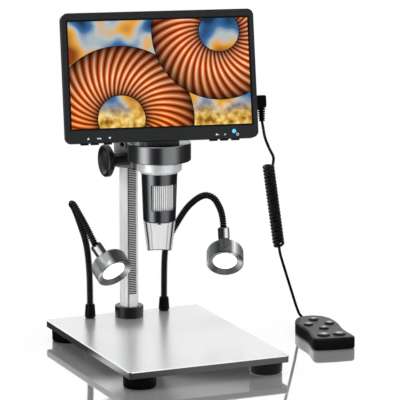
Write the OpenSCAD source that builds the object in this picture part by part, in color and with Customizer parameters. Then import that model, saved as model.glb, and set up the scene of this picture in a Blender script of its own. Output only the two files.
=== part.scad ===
// LCD digital microscope on a rack-and-pinion stand with two gooseneck lamps and a button remote.
// Origin: the point of the base plate's top face under the optical axis. +Z up, -Y to the front.

/* [Base] */
// Width of the base plate, left to right
base_w = 144; // [130:1:190]
// Depth of the base plate, front to back
base_d = 196; // [180:1:250]
// Thickness of the base plate
base_t = 6; // [5:0.5:10]
// Corner radius of the base plate
base_corner = 3; // [1:0.5:12]
// Chamfer along the plate's top edges
base_chamfer = 0.8; // [0.3:0.1:1.5]
// Diameter of each rubber foot
foot_d = 28; // [18:1:30]
// Height of each rubber foot
foot_h = 10.5; // [8:0.5:16]
// Distance of each foot's centre from the plate's edges
foot_inset = 15; // [15:1:25]

/* [Column] */
// Distance from the column's centre to the plate's rear edge
column_back = 16.5; // [14:0.5:22]
// Distance from the column's centre to the optical axis
arm_reach = 70; // [65:1:100]
// Diameter of the column
column_d = 16; // [14:0.5:18]
// Height of the column above the carriage's sleeve
column_over = 25.8; // [24:0.2:70]
// Diameter of the collar at the column's foot
collar_d = 25; // [22:0.5:32]
// Height of that collar
collar_h = 10; // [6:0.5:16]
// Thickness of the cap on the column
cap_t = 4; // [2:0.5:8]
// Width of the rack
rack_w = 7; // [5:0.5:9]
// Height above the plate where the rack's teeth start
rack_start = 21.5; // [14:0.5:40]

/* [Coarse focus] */
// Tooth module of rack and pinion
gear_module = 0.5; // [0.4:0.05:0.8]
// Number of teeth on the pinion
pinion_teeth = 18; // [17:1:22]
// Diameter of the pinion shaft
shaft_d = 4; // [3:0.25:5]
// Drop of the pinion shaft below the holder ring
shaft_drop = 9; // [8:0.2:11]
// Diameter of each focus knob
knob_d = 28; // [20:1:34]
// Thickness of each knob's disc
knob_t = 8; // [5:0.1:9]
// Distance from the column's centre to a knob's outer face
knob_x = 28.8; // [25:0.2:36]
// Diameter of a knob's hub
knob_hub_d = 11.2; // [8:0.2:13]
// Outer diameter of the carriage's sleeve
sleeve_d = 25.2; // [23:0.2:32]
// Height of the carriage's sleeve
sleeve_h = 25.5; // [22:0.5:34]

/* [Holder and tube] */
// Radial thickness of the holder ring
ring_wall = 12; // [8:0.5:16]
// Height of the holder ring
ring_h = 15.4; // [10:0.2:20]
// Height of the ring's lower face above the plate
ring_z = 152.2; // [146:0.2:160]
// Diameter of the tube that turns in the ring
tube_d = 30; // [24:0.5:36]
// Radial thickness of the bright clamp nut
nut_wall = 4.15; // [3:0.05:6]
// Height of the clamp nut
nut_h = 9.2; // [6:0.2:12]
// Length of the tapered barrel
barrel_l = 42.2; // [38:0.2:60]
// Diameter of the barrel at its top
barrel_top_d = 30.8; // [30:0.2:36]
// Diameter of the barrel at its bottom
barrel_low_d = 27.8; // [27:0.2:32]
// Height of the window in the barrel
window_h = 22.1; // [14:0.5:24]
// Distance of the window's upper edge below the barrel's top
window_drop = 9.6; // [7:0.1:12]
// Angle that the window takes up round the barrel
window_angle = 102; // [60:1:130]
// Length of the clear tip below the barrel
tip_l = 25.8; // [16:0.2:34]
// Diameter of the clear tip at its top
tip_top_d = 27.3; // [25:0.1:27.6]
// Diameter of the clear tip at its mouth
tip_low_d = 21.1; // [18:0.1:26]
// Wall of the clear tip
tip_wall = 1.3; // [0.8:0.1:2]
// Diameter of the ribbed focus wheel
wheel_d = 24.4; // [22:0.2:24.6]
// Number of ribs round the focus wheel
wheel_ribs = 44; // [30:2:60]
// Turn of the head to the left about the optical axis
head_turn = 12.6; // [0:0.2:30]

/* [Screen] */
// Width of the picture
view_w = 153.6; // [120:0.2:180]
// Height of the picture
view_h = 90; // [70:0.5:110]
// Bezel beside the picture
bezel_side = 5.2; // [4:0.2:12]
// Bezel above the picture
bezel_top = 7.3; // [5:0.1:14]
// Bezel below the picture
bezel_low = 12; // [11:0.1:18]
// Overall thickness of the screen
screen_t = 20; // [18:0.5:28]
// Depth of the front bezel part of that thickness
bezel_t = 9.8; // [9:0.1:12]
// Bevel of the rear cover round its back
cover_bevel = 8; // [5:0.5:9]
// Corner radius of the screen
screen_corner = 5.5; // [3:0.5:12]
// Backward tilt of the screen
screen_tilt = 14; // [10:0.5:20]
// Gap between the holder ring and the screen's lower front edge
screen_gap = 4.4; // [3:0.1:12]
// Distance of the screen's lower front edge in front of the optical axis
screen_fwd = 18.7; // [17:0.1:21]
// Width of the neck between tube and screen
neck_w = 27.5; // [24:0.5:34]
// Width of the hinge lug between the neck's cheeks
lug_w = 16; // [10:0.5:18]
// Diameter of the hinge pin
pin_d = 5; // [3:0.5:6]
// Width of the screen's main board
board_w = 100; // [70:1:110]
// Height of the screen's main board
board_h = 58; // [40:1:60]
// Width of the battery
battery_w = 34; // [20:1:36]
// Height of the battery
battery_h = 48; // [30:1:50]
// Thickness of the battery
battery_t = 5.8; // [3:0.1:6]

/* [Lamps] */
// Distance between the two gooseneck boots
boot_spread = 70; // [60:1:90]
// Diameter of a gooseneck
goose_d = 5.6; // [4:0.2:6]
// Height of a gooseneck's boot
boot_h = 12.5; // [8:0.5:13]
// Diameter of a lamp head
lamp_d = 32.2; // [28:0.2:36]
// Depth of a lamp head
lamp_t = 16.6; // [13:0.2:20]
// Diameter of the glowing lens
lens_d = 20.8; // [12:0.2:22]
// How far the lens sits behind the lamp's front edge
lens_deep = 2.4; // [0.4:0.2:4]
// Diameter of the sleeve behind a lamp head
lamp_sleeve_d = 10; // [8:0.2:10.4]
// Length of that sleeve
lamp_sleeve_l = 10; // [8:0.5:13]

/* [Remote and cord] */
// Length of the button remote
remote_l = 85; // [76:1:96]
// Greatest width of the remote
remote_w = 37; // [34:1:46]
// Thickness of the remote
remote_t = 10.6; // [9:0.2:14]
// Turn of the remote on the table, clockwise from above
remote_turn = 9; // [0:1:12]
// Diameter of the small buttons
small_button_d = 8.6; // [6:0.2:10]
// Diameter of the large buttons
large_button_d = 11; // [8:0.2:12]
// Diameter of the cord
cord_d = 2.4; // [2:0.1:2.8]
// Outer diameter of the curly length
coil_d = 10.5; // [8:0.5:12]

/* [Hidden] */
$fn = 64;

run_gap = 0.05;      // radial clearance of a shaft or tube that turns
slide_gap = 0.3;     // clearance between pieces that slide past each other
seat_gap = 0.1;      // clearance under a seated face of another body
screw_gap = 0.1;     // radial clearance round a screw's shank
button_gap = 0.2;    // clearance round a button
wall = 2;            // wall of the moulded housings

column_y = arm_reach;
plate_back = column_y + column_back;
plate_front = plate_back - base_d;
floor_z = -base_t - foot_h;

// rack and pinion
pitch = PI * gear_module;
pitch_r = gear_module * pinion_teeth / 2;
tooth_play = 0.08;                               // thinning of each tooth at the pitch line
rack_pitch_y = column_d/2 + 0.9;                 // pitch line in front of the column's centre
rack_tip_y = rack_pitch_y + gear_module;
rack_seat_y = column_d/2 - 2;                    // bottom of the column's groove
shaft_y = column_y - rack_pitch_y - pitch_r;
pinion_w = 5;
lug_hw = 5.5;                                    // half width of the pinion housing
shaft_z = ring_z - shaft_drop;
sleeve_z = shaft_z - 8.5;
column_h = sleeve_z + sleeve_h + column_over;
lug_front = shaft_y - pitch_r - gear_module - 2.6;
lug_low = shaft_z - 7;
arm_top = ring_z + ring_h - 3.4;
arm_w = 14;

// tube
ring_d = tube_d + 2*ring_wall;
nut_d = tube_d + 2*nut_wall;
nut_z = ring_z - 1.1 - nut_h;
barrel_z = nut_z - barrel_l;
window_z = barrel_l - window_drop - window_h;    // window's lower edge above the barrel's bottom
tip_z = barrel_z - tip_l;
ring_top = ring_z + ring_h;
bore_r = wheel_d/2 + slide_gap;                  // wheel chamber in the barrel
cell_r = 8;
chamber_z = barrel_z + window_z - 3;
chamber_h = window_h + 6;
window_turn = 12.6;                              // window's centre from the head's front
mark_turn = -9.9;                                // the barrel's index mark, likewise

// screen: x right, z up, y back from the picture's plane
screen_w = view_w + 2*bezel_side;
screen_top = view_h/2 + bezel_top;
screen_low = -view_h/2 - bezel_low;
view_z = ring_top + screen_gap - screen_low*cos(screen_tilt);
view_fwd = screen_fwd + screen_low*sin(screen_tilt);
lip = 0.8;                                       // bezel in front of the picture
panel_edge = 2;
// hinge axis in the head's frame
hinge_y = 13;
hinge_z = ring_top + 19.4;
hinge_r = 7.2;
back_y = screen_t - lip;
button_x = [-66, -57.4, -46.2, 44, 53.2, 62.8];
button_w = 6.8;
button_depth = 4;
button_out = 1.5;
button_travel = 0.8;
jack_z = screen_low + 30.5;
jack_y = 8.2;

// lamps: [lens centre, turn, dip, roll]
left_lamp = [[-24.8, 40.7, 46.9], 12.5, 36, -42.7];
right_lamp = [[70.7, 21.7, 51.1], -23.2, 36, -3.5];
sleeve_foot = [0, lamp_t - 3.9, lamp_d/2 + 1.6];
sleeve_lean = 50;
boot_y = column_y + 7;
boot_x = [-boot_spread/2 + 1, boot_spread/2 + 1];
left_route = [[-34.6, 77, 43], [-37.8, 76, 67.5], [-45.3, 74, 89.5], [-50.4, 71.5, 101], [-53.6, 68.5, 105],
    [-53, 64.5, 104.5], [-49.9, 58.5, 96.5], [-46.7, 52, 87.5]];
right_route = [[37, 77, 52], [40.5, 74, 67], [46, 70.5, 79.5], [52.5, 64, 93.5], [59.5, 56, 103.2],
    [64.7, 49, 106.8], [69.3, 43, 104.7], [71, 37, 99.7], [71.3, 32, 95.2], [70.9, 27.7, 89.5]];

// remote and cord
remote_c = [148.9, -10.8, floor_z];
remote_split = 4.6;
stub_r = 2.2;
stub_l = 2.5;
remote_buttons = [[0, 26], [-9.6, 9.5], [9.6, 9.5], [0, -6], [-7, -29], [7, -29]];
coil_top = [93.5, -17.5, 143.5];
coil_low = [111, -2.5, 67.5];
upper_route = [[86, -23.5, 176.5], [88.5, -21.5, 168.5], [95, -15.5, 158], [98.5, -17, 150]];
lower_route = [[113, -1, 60], [119.5, 4.5, 46], [129.5, 13, 25.5], [138, 21.5, 9.5],
    [145, 31, 0], [151, 38, -7]];

// ---------- helpers ----------
function unit(v) = v / norm(v);
function cr(a, b, c, d, t) =
    0.5*(2*b + (c - a)*t + (2*a - 5*b + 4*c - d)*t*t + (3*b - a - 3*c + d)*t*t*t);
// a smooth run of points through p, n steps between each pair
function smooth(p, n) = concat([for (i = [0:len(p) - 2]) for (k = [0:n - 1])
    cr(p[max(i - 1, 0)], p[i], p[i + 1], p[min(i + 2, len(p) - 1)], k/n)], [p[len(p) - 1]]);
function smooth_loop(p, n) = [for (i = [0:len(p) - 1]) for (k = [0:n - 1])
    cr(p[(i + len(p) - 1) % len(p)], p[i], p[(i + 1) % len(p)], p[(i + 2) % len(p)], k/n)];

// a round tube along p; t0 and t1 are the directions at its ends, side a vector across the curve
module tube(p, d, sides, side, t0, t1) {
    last = len(p) - 1;
    dir = [for (i = [0:last]) i == 0 ? unit(t0) : i == last ? unit(t1) : unit(p[i + 1] - p[i - 1])];
    pts = [for (i = [0:last]) let(u = unit(side - dir[i]*(side*dir[i])), v = cross(dir[i], u))
        for (k = [0:sides - 1]) p[i] + d/2*(u*cos(360*k/sides) + v*sin(360*k/sides))];
    quads = [for (i = [0:last - 1]) for (k = [0:sides - 1]) let(m = (k + 1) % sides)
        [i*sides + k, (i + 1)*sides + k, (i + 1)*sides + m, i*sides + m]];
    polyhedron(pts, concat([[for (k = [0:sides - 1]) k]],
        [[for (k = [sides - 1:-1:0]) last*sides + k]], quads), convexity = 6);
}

// box with rounded vertical edges, centred in x and y
module round_box(w, d, h, r) {
    translate([-w/2 + r, -d/2, 0]) cube([w - 2*r, d, h]);
    translate([-w/2, -d/2 + r, 0]) cube([w, d - 2*r, h]);
    for (x = [-1, 1], y = [-1, 1]) translate([x*(w/2 - r), y*(d/2 - r), 0]) cylinder(r = r, h = h);
}

// slab with rounded corners in the screen's plane, y0 to y1 deep
module screen_slab(x0, x1, z0, z1, y0, y1, r) {
    translate([(x0 + x1)/2, y0, (z0 + z1)/2]) rotate([-90, 0, 0]) round_box(x1 - x0, z1 - z0, y1 - y0, r);
}

module head() { rotate([0, 0, -head_turn]) children(); }
module screen() { head() translate([0, -view_fwd, view_z]) rotate([-screen_tilt, 0, 0]) children(); }
module along_y() { rotate([-90, 0, 0]) children(); }
module along_x() { rotate([0, 90, 0]) children(); }

module lamp_frame(lamp) {
    translate(lamp[0]) rotate([0, 0, lamp[1]]) rotate([lamp[2], 0, 0]) rotate([0, lamp[3], 0]) children();
}
// the same frame as a function, for the goosenecks' ends
function turn_z(v, a) = [v.x*cos(a) - v.y*sin(a), v.x*sin(a) + v.y*cos(a), v.z];
function turn_x(v, a) = [v.x, v.y*cos(a) - v.z*sin(a), v.y*sin(a) + v.z*cos(a)];
function turn_y(v, a) = [v.x*cos(a) + v.z*sin(a), v.y, -v.x*sin(a) + v.z*cos(a)];
function lamp_dir(lamp, v) = turn_z(turn_x(turn_y(v, lamp[3]), lamp[2]), lamp[1]);
sleeve_dir = [0, sin(sleeve_lean), cos(sleeve_lean)];
function goose_dir(lamp) = lamp_dir(lamp, sleeve_dir);
function goose_end(lamp) = lamp[0] + lamp_dir(lamp, sleeve_foot + (lamp_sleeve_l + seat_gap)*sleeve_dir);

// ---------- stand ----------
module foot_places() {
    for (x = [-1, 1], y = [plate_front + foot_inset, plate_back - foot_inset])
        translate([x*(base_w/2 - foot_inset), y, 0]) children();
}

module base_plate() {
    color("#e6e8e8") difference() {
        translate([0, (plate_front + plate_back)/2, -base_t]) round_box(base_w, base_d, base_t, base_corner);
        for (x = [-1, 1]) translate([x*base_w/2, plate_front - 1, 0]) rotate([0, 45, 0])
            translate([-base_chamfer*sqrt(0.5), 0, -base_chamfer*sqrt(0.5)])
                cube([base_chamfer*sqrt(2), base_d + 2, base_chamfer*sqrt(2)]);
        for (y = [plate_front, plate_back]) translate([-base_w/2 - 1, y, 0]) rotate([45, 0, 0])
            translate([0, -base_chamfer*sqrt(0.5), -base_chamfer*sqrt(0.5)])
                cube([base_w + 2, base_chamfer*sqrt(2), base_chamfer*sqrt(2)]);
        foot_places() translate([0, 0, -base_t - 1]) cylinder(r = foot_screw_r + screw_gap, h = base_t - 0.5);
        for (x = boot_x) translate([x, boot_y, -base_t - 1]) cylinder(r = goose_d/2 + run_gap, h = base_t + 2);
    }
}
foot_screw_r = 2;
foot_recess_r = 5;
foot_recess = 4;

module rubber_feet() {
    color("#1b1b1b") foot_places() difference() {
        translate([0, 0, floor_z]) rotate_extrude() polygon([[0, 0], [foot_d/2 - 1.2, 0],
            [foot_d/2 - 0.3, 1], [foot_d/2, foot_h - 1], [foot_d/2 - 0.8, foot_h], [0, foot_h]]);
        translate([0, 0, floor_z - 1]) cylinder(r = foot_recess_r, h = foot_recess + 1);
        translate([0, 0, floor_z - 1]) cylinder(r = foot_screw_r + screw_gap, h = foot_h + 2);
    }
}

module foot_screws() {
    color("silver") foot_places() translate([0, 0, floor_z + foot_recess]) {
        cylinder(r = foot_screw_r, h = foot_h - foot_recess + base_t - 1.6);
        translate([0, 0, -1.8]) cylinder(r = foot_recess_r - 1, h = 1.8);
    }
}

module column_collar() {
    color("#202020") translate([0, column_y, 0]) difference() {
        rotate_extrude() polygon([[0, 0], [collar_d/2, 0], [collar_d/2, collar_h - 0.6],
            [collar_d/2 - 0.6, collar_h], [0, collar_h]]);
        translate([0, 0, -1]) cylinder(r = column_d/2 + run_gap, h = collar_h + 2);
    }
}

module column() {
    color("#d8dadc") translate([0, column_y, 0]) difference() {
        cylinder(d = column_d, h = column_h);
        translate([-rack_w/2 - run_gap, -column_d, collar_h])
            cube([rack_w + 2*run_gap, column_d - rack_seat_y, column_h]);
        for (a = [-51, 51]) rotate([0, 0, a]) translate([-0.4, -column_d/2 - 1, collar_h + 2])
            cube([0.8, 1.4, column_h]);
    }
}

// side view of the rack: straight flanks at 20 degrees, a space at the pinion's height
module rack() {
    low = collar_h;
    first = ceil((rack_start - shaft_z)/pitch);
    last = floor((column_h - 3 - shaft_z)/pitch);
    half = pitch/4 + tooth_play/4;                    // half a space at the pitch line
    tip = half + gear_module*tan(20);
    root = half - 1.25*gear_module*tan(20);
    root_y = rack_pitch_y - 1.25*gear_module;
    color("#b8bab8") translate([-rack_w/2, column_y, 0]) rotate([90, 0, 90])
        linear_extrude(rack_w) polygon(concat([[-rack_seat_y - run_gap, low], [-rack_tip_y, low]],
            [for (k = [first:last]) for (q = [[-rack_tip_y, -tip], [-root_y, -root], [-root_y, root],
                [-rack_tip_y, tip]]) [q[0], shaft_z + k*pitch + q[1]]],
            [[-rack_tip_y, column_h - 0.5], [-rack_seat_y - run_gap, column_h - 0.5]]));
}

module column_cap() {
    color("#202020") translate([0, column_y, column_h]) rotate_extrude() polygon([[0, 0],
        [column_d/2 + 1.6, 0], [column_d/2 + 1.6, cap_t - 1], [column_d/2 + 0.6, cap_t], [0, cap_t]]);
}

module lamp_boots() {
    color("#181818") for (x = boot_x) translate([x, boot_y, 0]) difference() {
        rotate_extrude() polygon([[0, 0], [3.9, 0], [4.75, 1.4], [4.75, 2.4], [4.1, boot_h - 0.8],
            [3.5, boot_h], [0, boot_h]]);
        translate([0, 0, -1]) cylinder(r = goose_d/2 + run_gap, h = boot_h + 2);
    }
}

module gooseneck(lamp, route, x) {
    foot = [x, boot_y, -base_t + 1];
    across = unit(cross([0, 0, 1], goose_end(lamp) - foot));
    color("#161616") tube(concat([foot], smooth(concat([[x, boot_y, boot_h + 1]], route,
        [goose_end(lamp)]), 4)), goose_d, 12, across, [0, 0, 1], -goose_dir(lamp));
}
module left_gooseneck() { gooseneck(left_lamp, left_route, boot_x[0]); }
module right_gooseneck() { gooseneck(right_lamp, right_route, boot_x[1]); }

// ---------- lamps ----------
module lamp_head(lamp) {
    r = lamp_d/2;
    color("#b4b6b8") lamp_frame(lamp) difference() {
        union() {
            along_y() rotate_extrude($fn = 96) polygon(concat([[0, lens_deep], [lens_d/2 + 0.6, lens_deep],
                [r - 1.4, 0], [r - 0.5, 0], [r, 0.5]],
                [for (a = [0:15:90]) [r - 5 + 5*cos(a), lamp_t - 5 + 5*sin(a)]], [[0, lamp_t]]));
            translate(sleeve_foot) rotate([-sleeve_lean, 0, 0]) translate([0, 0, -8])
                cylinder(r = lamp_sleeve_d/2 - 0.3, h = 8);
        }
        along_y() translate([0, 0, lens_deep - 1]) cylinder(r = lens_d/2 + run_gap, h = 3);
        along_y() translate([0, 0, lens_deep + 1.9]) cylinder(r = lens_d/2 - 1.2, h = 5);
    }
}

module lamp_lens(lamp) {
    color("#f4f8ff") lamp_frame(lamp) along_y() translate([0, 0, lens_deep + 0.3]) cylinder(d = lens_d, h = 1.6);
}

module lamp_sleeve(lamp) {
    r = lamp_sleeve_d/2;
    color("#141414") lamp_frame(lamp) translate(sleeve_foot) rotate([-sleeve_lean, 0, 0])
        rotate_extrude() polygon([[0, 0], [r - 0.3, 0], [r, 0.6], [r, lamp_sleeve_l - 1],
            [r - 1, lamp_sleeve_l], [0, lamp_sleeve_l]]);
}

// ---------- remote ----------
// half outline from the cord end to the front, as shares of half the width and half the length
remote_side = [[0, 1], [0.34, 0.97], [0.66, 0.86], [0.87, 0.68], [0.96, 0.46], [0.97, 0.22],
    [0.92, 0], [0.88, -0.2], [0.885, -0.4], [0.94, -0.6], [0.99, -0.78], [0.985, -0.9], [0.86, -0.97],
    [0.5, -0.99], [0, -1]];
function remote_outline(inset) = let(
    right = [for (p = remote_side) [p.x*remote_w/2, p.y*remote_l/2]],
    left = [for (i = [len(right) - 2:-1:1]) [-right[i].x, right[i].y]],
    loop = smooth_loop(concat(right, left), 3), n = len(loop))
    [for (i = [0:n - 1]) let(t = unit(loop[(i + 1) % n] - loop[(i + n - 1) % n]))
        loop[i] + inset*[t.y, -t.x]];
module remote_frame() { translate(remote_c) rotate([0, 0, -remote_turn]) children(); }
module remote_slab(inset, z0, z1) {
    translate([0, 0, z0]) linear_extrude(z1 - z0) polygon(remote_outline(inset));
}
module button_places(gap) {
    for (i = [0:5]) translate([remote_buttons[i].x, remote_buttons[i].y, 0])
        cylinder(d = (i < 4 ? small_button_d : large_button_d) + 2*gap, h = remote_t + 10);
}

module stub_place() { translate([0, remote_l/2 - 3*wall/2, remote_split - 0.4]) along_y() children(); }

module remote_top() {
    color("#2a2c2e") remote_frame() difference() {
        union() {
            remote_slab(0, remote_split, remote_t - 1.2);
            remote_slab(0.5, remote_t - 1.2, remote_t - 0.5);
            remote_slab(1.3, remote_t - 0.5, remote_t);
        }
        remote_slab(wall, remote_split - 1, remote_t - wall);
        button_places(button_gap);
        stub_place() cylinder(r = stub_r + seat_gap, h = stub_l + 2*wall);
    }
}

module remote_base() {
    color("#131313") remote_frame() {
        difference() {
            union() {
                remote_slab(1, 0, 0.8);
                remote_slab(0, 0.8, remote_split);
            }
            remote_slab(wall, wall, remote_split + 1);
        }
        stub_place() translate([0, 0, wall + 0.5]) cylinder(r = stub_r, h = stub_l + wall/2 - 0.5);
    }
}

module remote_board() {
    color("#1f5a34") remote_frame() {
        remote_slab(wall + 0.5, remote_split - 1.4, remote_split - 0.2);
        for (i = [0:5]) translate([remote_buttons[i].x, remote_buttons[i].y, wall])
            cylinder(r = 1.5, h = remote_split - 1.4 - wall);
    }
}

module remote_button(i) {
    d = i < 4 ? small_button_d : large_button_d;
    color("#222426") remote_frame() translate([remote_buttons[i].x, remote_buttons[i].y, 0])
        translate([0, 0, remote_split + 0.8]) rotate_extrude() polygon([[0, 0], [d/2, 0],
            [d/2, remote_t - remote_split + 0.3], [d/2 - 0.6, remote_t - remote_split + 0.8],
            [0, remote_t - remote_split + 0.8]]);
}

// ---------- cord ----------
coil_dir = unit(coil_top - coil_low);
coil_mid = (coil_top + coil_low)/2;
module coil_part(from, to) {
    d = to - from;
    translate(from) rotate([0, acos(d.z/norm(d)), atan2(d.y, d.x)]) cylinder(d = coil_d, h = norm(d), $fn = 48);
}
module cord_coil() { color("#101010") coil_part(coil_low, coil_mid); }
module cord_coil_top() { color("#101010") coil_part(coil_mid + coil_dir*seat_gap, coil_top); }

cord_side = unit([0.64, -0.77, 0]);
stub_end = remote_c + turn_z([0, remote_l/2 + stub_l + seat_gap, remote_split - 0.4], -remote_turn);
module cord_lower() {
    start = coil_low - coil_dir*seat_gap;
    color("#101010") tube(smooth(concat([start], lower_route, [stub_end]), 4), cord_d, 8, cord_side,
        -coil_dir, turn_z([0, -1, 0], -remote_turn));
}

plug_x = screen_w/2 + 5.2;
relief_z = jack_z - 16.4;
function screen_point(p) = let(q = turn_x(p, -screen_tilt) + [0, -view_fwd, view_z])
    turn_z(q, -head_turn);
module cord_upper() {
    down = turn_z(turn_x([0, 0, -1], -screen_tilt), -head_turn);
    over = unit([0.9, -0.4, 0] - coil_dir*([0.9, -0.4, 0]*coil_dir));
    finish = coil_top + over*(coil_d/2 - cord_d/2) + coil_dir*seat_gap;
    color("#101010") tube(smooth(concat([screen_point([plug_x, jack_y, relief_z - seat_gap])],
        upper_route, [finish]), 4), cord_d, 8, cord_side, down, -coil_dir);
}

module plug() {
    color("#141414") screen() {
        difference() {
            screen_slab(screen_w/2 + 0.2, screen_w/2 + 9, jack_z - 5.4, jack_z + 5.4, jack_y - 4, jack_y + 4, 1.6);
            translate([screen_w/2 + 7.6, jack_y - 5, jack_z - 7]) rotate([0, 20, 0]) cube([6, 10, 20]);
        }
        translate([screen_w/2 - 5, jack_y, jack_z]) along_x() cylinder(r = 1.75, h = 6);
        for (k = [0:5]) translate([plug_x, jack_y, relief_z + k*1.9]) cylinder(r = 2.5 + k*0.16, h = 1.2);
        translate([plug_x, jack_y, relief_z]) cylinder(r = 2, h = 12);
    }
}

// ---------- carriage ----------
module carriage() {
    color("#a8aaa8") difference() {
        union() {
            translate([0, column_y, sleeve_z]) cylinder(d = sleeve_d, h = sleeve_h);
            translate([-lug_hw, lug_front, lug_low]) cube([2*lug_hw, column_y - lug_front, ring_z - seat_gap/2 - lug_low]);
        }
        translate([0, column_y, sleeve_z - 1]) cylinder(r = column_d/2 + run_gap, h = sleeve_h + 2);
        translate([-rack_w/2 - slide_gap, column_y - rack_tip_y - slide_gap, sleeve_z - 1])
            cube([rack_w + 2*slide_gap, rack_tip_y, sleeve_h + 2]);
        translate([-pinion_w/2 - slide_gap, shaft_y, shaft_z]) along_x()
            cylinder(r = pitch_r + gear_module + slide_gap, h = pinion_w + 2*slide_gap);
        translate([-pinion_w/2 - slide_gap, shaft_y, shaft_z - pitch_r])
            cube([pinion_w + 2*slide_gap, pitch_r + 2, 2*pitch_r]);
        translate([-20, shaft_y, shaft_z]) along_x() cylinder(r = shaft_d/2 + run_gap, h = 40);
        // spot faces that the knobs' hubs turn in
        for (x = [-20, lug_hw]) translate([x, shaft_y, shaft_z]) along_x()
            cylinder(r = knob_hub_d/2 + slide_gap, h = 20 - lug_hw);
        arm_screw_places() translate([0, 0, ring_z - 6]) cylinder(r = 1.5 + screw_gap, h = 10);
        sleeve_screw_place() cylinder(r = 2 + screw_gap, h = 20);
    }
}

module arm_screw_places() { for (x = [-3.4, 3.4]) translate([x, lug_front + 2.6, 0]) children(); }
module sleeve_screw_place() {
    translate([0, column_y, sleeve_z + sleeve_h - 5]) rotate([0, 0, -48]) translate([0, -column_d/2 - 0.4, 0])
        rotate([90, 0, 0]) children();
}

module holder_ring() {
    color("#4a4c4e") difference() {
        union() {
            translate([0, 0, ring_z]) rotate_extrude($fn = 96) polygon([[tube_d/2 + run_gap, 0],
                [ring_d/2 - 0.6, 0], [ring_d/2, 0.6], [ring_d/2, ring_h - 0.6], [ring_d/2 - 0.6, ring_h],
                [tube_d/2 + run_gap, ring_h]]);
            difference() {
                union() {
                    translate([-arm_w/2, ring_d/2 - 4, ring_z]) cube([arm_w, column_y - ring_d/2, arm_top - ring_z]);
                    translate([-3.6, lug_front - 3, sleeve_z]) cube([7.2, 2.9, ring_z - sleeve_z + 1]);
                    translate([-3.6, lug_front - 3, sleeve_z]) cube([7.2, column_y - rack_tip_y - 0.8 - lug_front + 3,
                        lug_low - seat_gap - sleeve_z]);
                }
                translate([0, column_y, sleeve_z - 1]) cylinder(d = sleeve_d + 2*run_gap, h = 60);
            }
        }
        arm_screw_places() translate([0, 0, ring_z - 1]) cylinder(r = 1.5 + screw_gap, h = 20);
        arm_screw_places() translate([0, 0, arm_top - 2.6]) cylinder(r = 2.8, h = 10);
        ring_screw_place() cylinder(r = 2 + screw_gap, h = 20);
    }
}

module ring_screw_place() {
    translate([0, 0, ring_z + ring_h/2]) rotate([0, 0, 135]) translate([0, -tube_d/2 - 0.4, 0])
        rotate([90, 0, 0]) children();
}

module arm_screws() {
    color("silver") arm_screw_places() translate([0, 0, ring_z - 5.5]) {
        cylinder(r = 1.5, h = arm_top - ring_z + 3);
        difference() {
            translate([0, 0, arm_top - ring_z + 2.9]) cylinder(r = 2.6, h = 2.4);
            translate([0, 0, arm_top - ring_z + 4]) cylinder(r = 1.3, h = 4, $fn = 6);
        }
    }
}

module clamp_screws() {
    color("#303030") {
        ring_screw_place() {
            cylinder(r = 2, h = ring_d/2 - tube_d/2 + 2);
            translate([0, 0, ring_d/2 - tube_d/2 + 1]) cylinder(r = 4.5, h = 6);
        }
        sleeve_screw_place() difference() {
            cylinder(r = 2, h = 3);
            translate([0, 0, 1.2]) cylinder(r = 1.1, h = 3, $fn = 6);
        }
    }
}

// ---------- coarse focus ----------
knob_l = knob_x - lug_hw - 0.5;                  // length of a knob with its hub
module focus_knobs() {
    color("#1c1c1e") for (s = [-1, 1]) translate([0, shaft_y, shaft_z]) scale([s, 1, 1]) {
        translate([lug_hw + 0.5, 0, 0]) along_x() difference() {
            rotate_extrude($fn = 96) polygon([[0, 0], [knob_hub_d/2, 0], [knob_hub_d/2, knob_l - knob_t],
                [max(knob_hub_d/2 + 0.5, knob_d/2 - 5), knob_l - knob_t],
                [knob_d/2 - 0.5, knob_l - knob_t*0.63], [knob_d/2, knob_l - knob_t*0.56],
                [knob_d/2, knob_l - 1], [knob_d/2 - 1, knob_l],
                [knob_d/2 - 2.6, knob_l], [knob_d/2 - 5, knob_l - 1.6], [knob_d/2 - 6, knob_l - 1.8],
                [4, knob_l - 1.2], [0, knob_l - 1]]);
            translate([0, 0, -1]) cylinder(r = shaft_d/2, h = knob_l - 3.5);
        }
    }
}

// involute flank of the pinion, from the base circle to the tip
base_r = pitch_r*cos(20);
inv20 = tan(20)*180/PI - 20;
half_tooth = 90/pinion_teeth - tooth_play/4/pitch_r*180/PI + inv20;
function involute(r) = let(a = acos(min(1, base_r/r))) half_tooth - (tan(a)*180/PI - a);
module pinion_shaft() {
    root = pitch_r - 1.25*gear_module;
    tip = pitch_r + gear_module;
    radii = [base_r, base_r + (tip - base_r)/3, base_r + 2*(tip - base_r)/3, tip];
    color("#c8c8c8") translate([0, shaft_y, shaft_z]) {
        translate([-knob_x + 5, 0, 0]) along_x() cylinder(d = shaft_d, h = 2*knob_x - 10);
        // a tooth points at the column, into the rack's space
        translate([-pinion_w/2, 0, 0]) rotate([90, 0, 90]) linear_extrude(pinion_w)
            polygon([for (k = [0:pinion_teeth - 1]) let(c = 360*k/pinion_teeth)
                for (q = concat([[root, -half_tooth]], [for (r = radii) [r, -involute(r)]],
                    [for (i = [3:-1:0]) [radii[i], involute(radii[i])]], [[root, half_tooth]]))
                    q[0]*[cos(c + q[1]), sin(c + q[1])]]);
    }
}

// ---------- tube ----------
module scope_tube() {
    color("#2b2b2b") head() difference() {
        union() {
            translate([0, 0, nut_z]) cylinder(d = tube_d, h = ring_top - nut_z);
            translate([0, 0, nut_z - 4]) cylinder(r = bore_r - run_gap, h = 5);
        }
        translate([0, 0, nut_z - 5]) cylinder(r = bore_r - 2, h = ring_h);
    }
}

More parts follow.
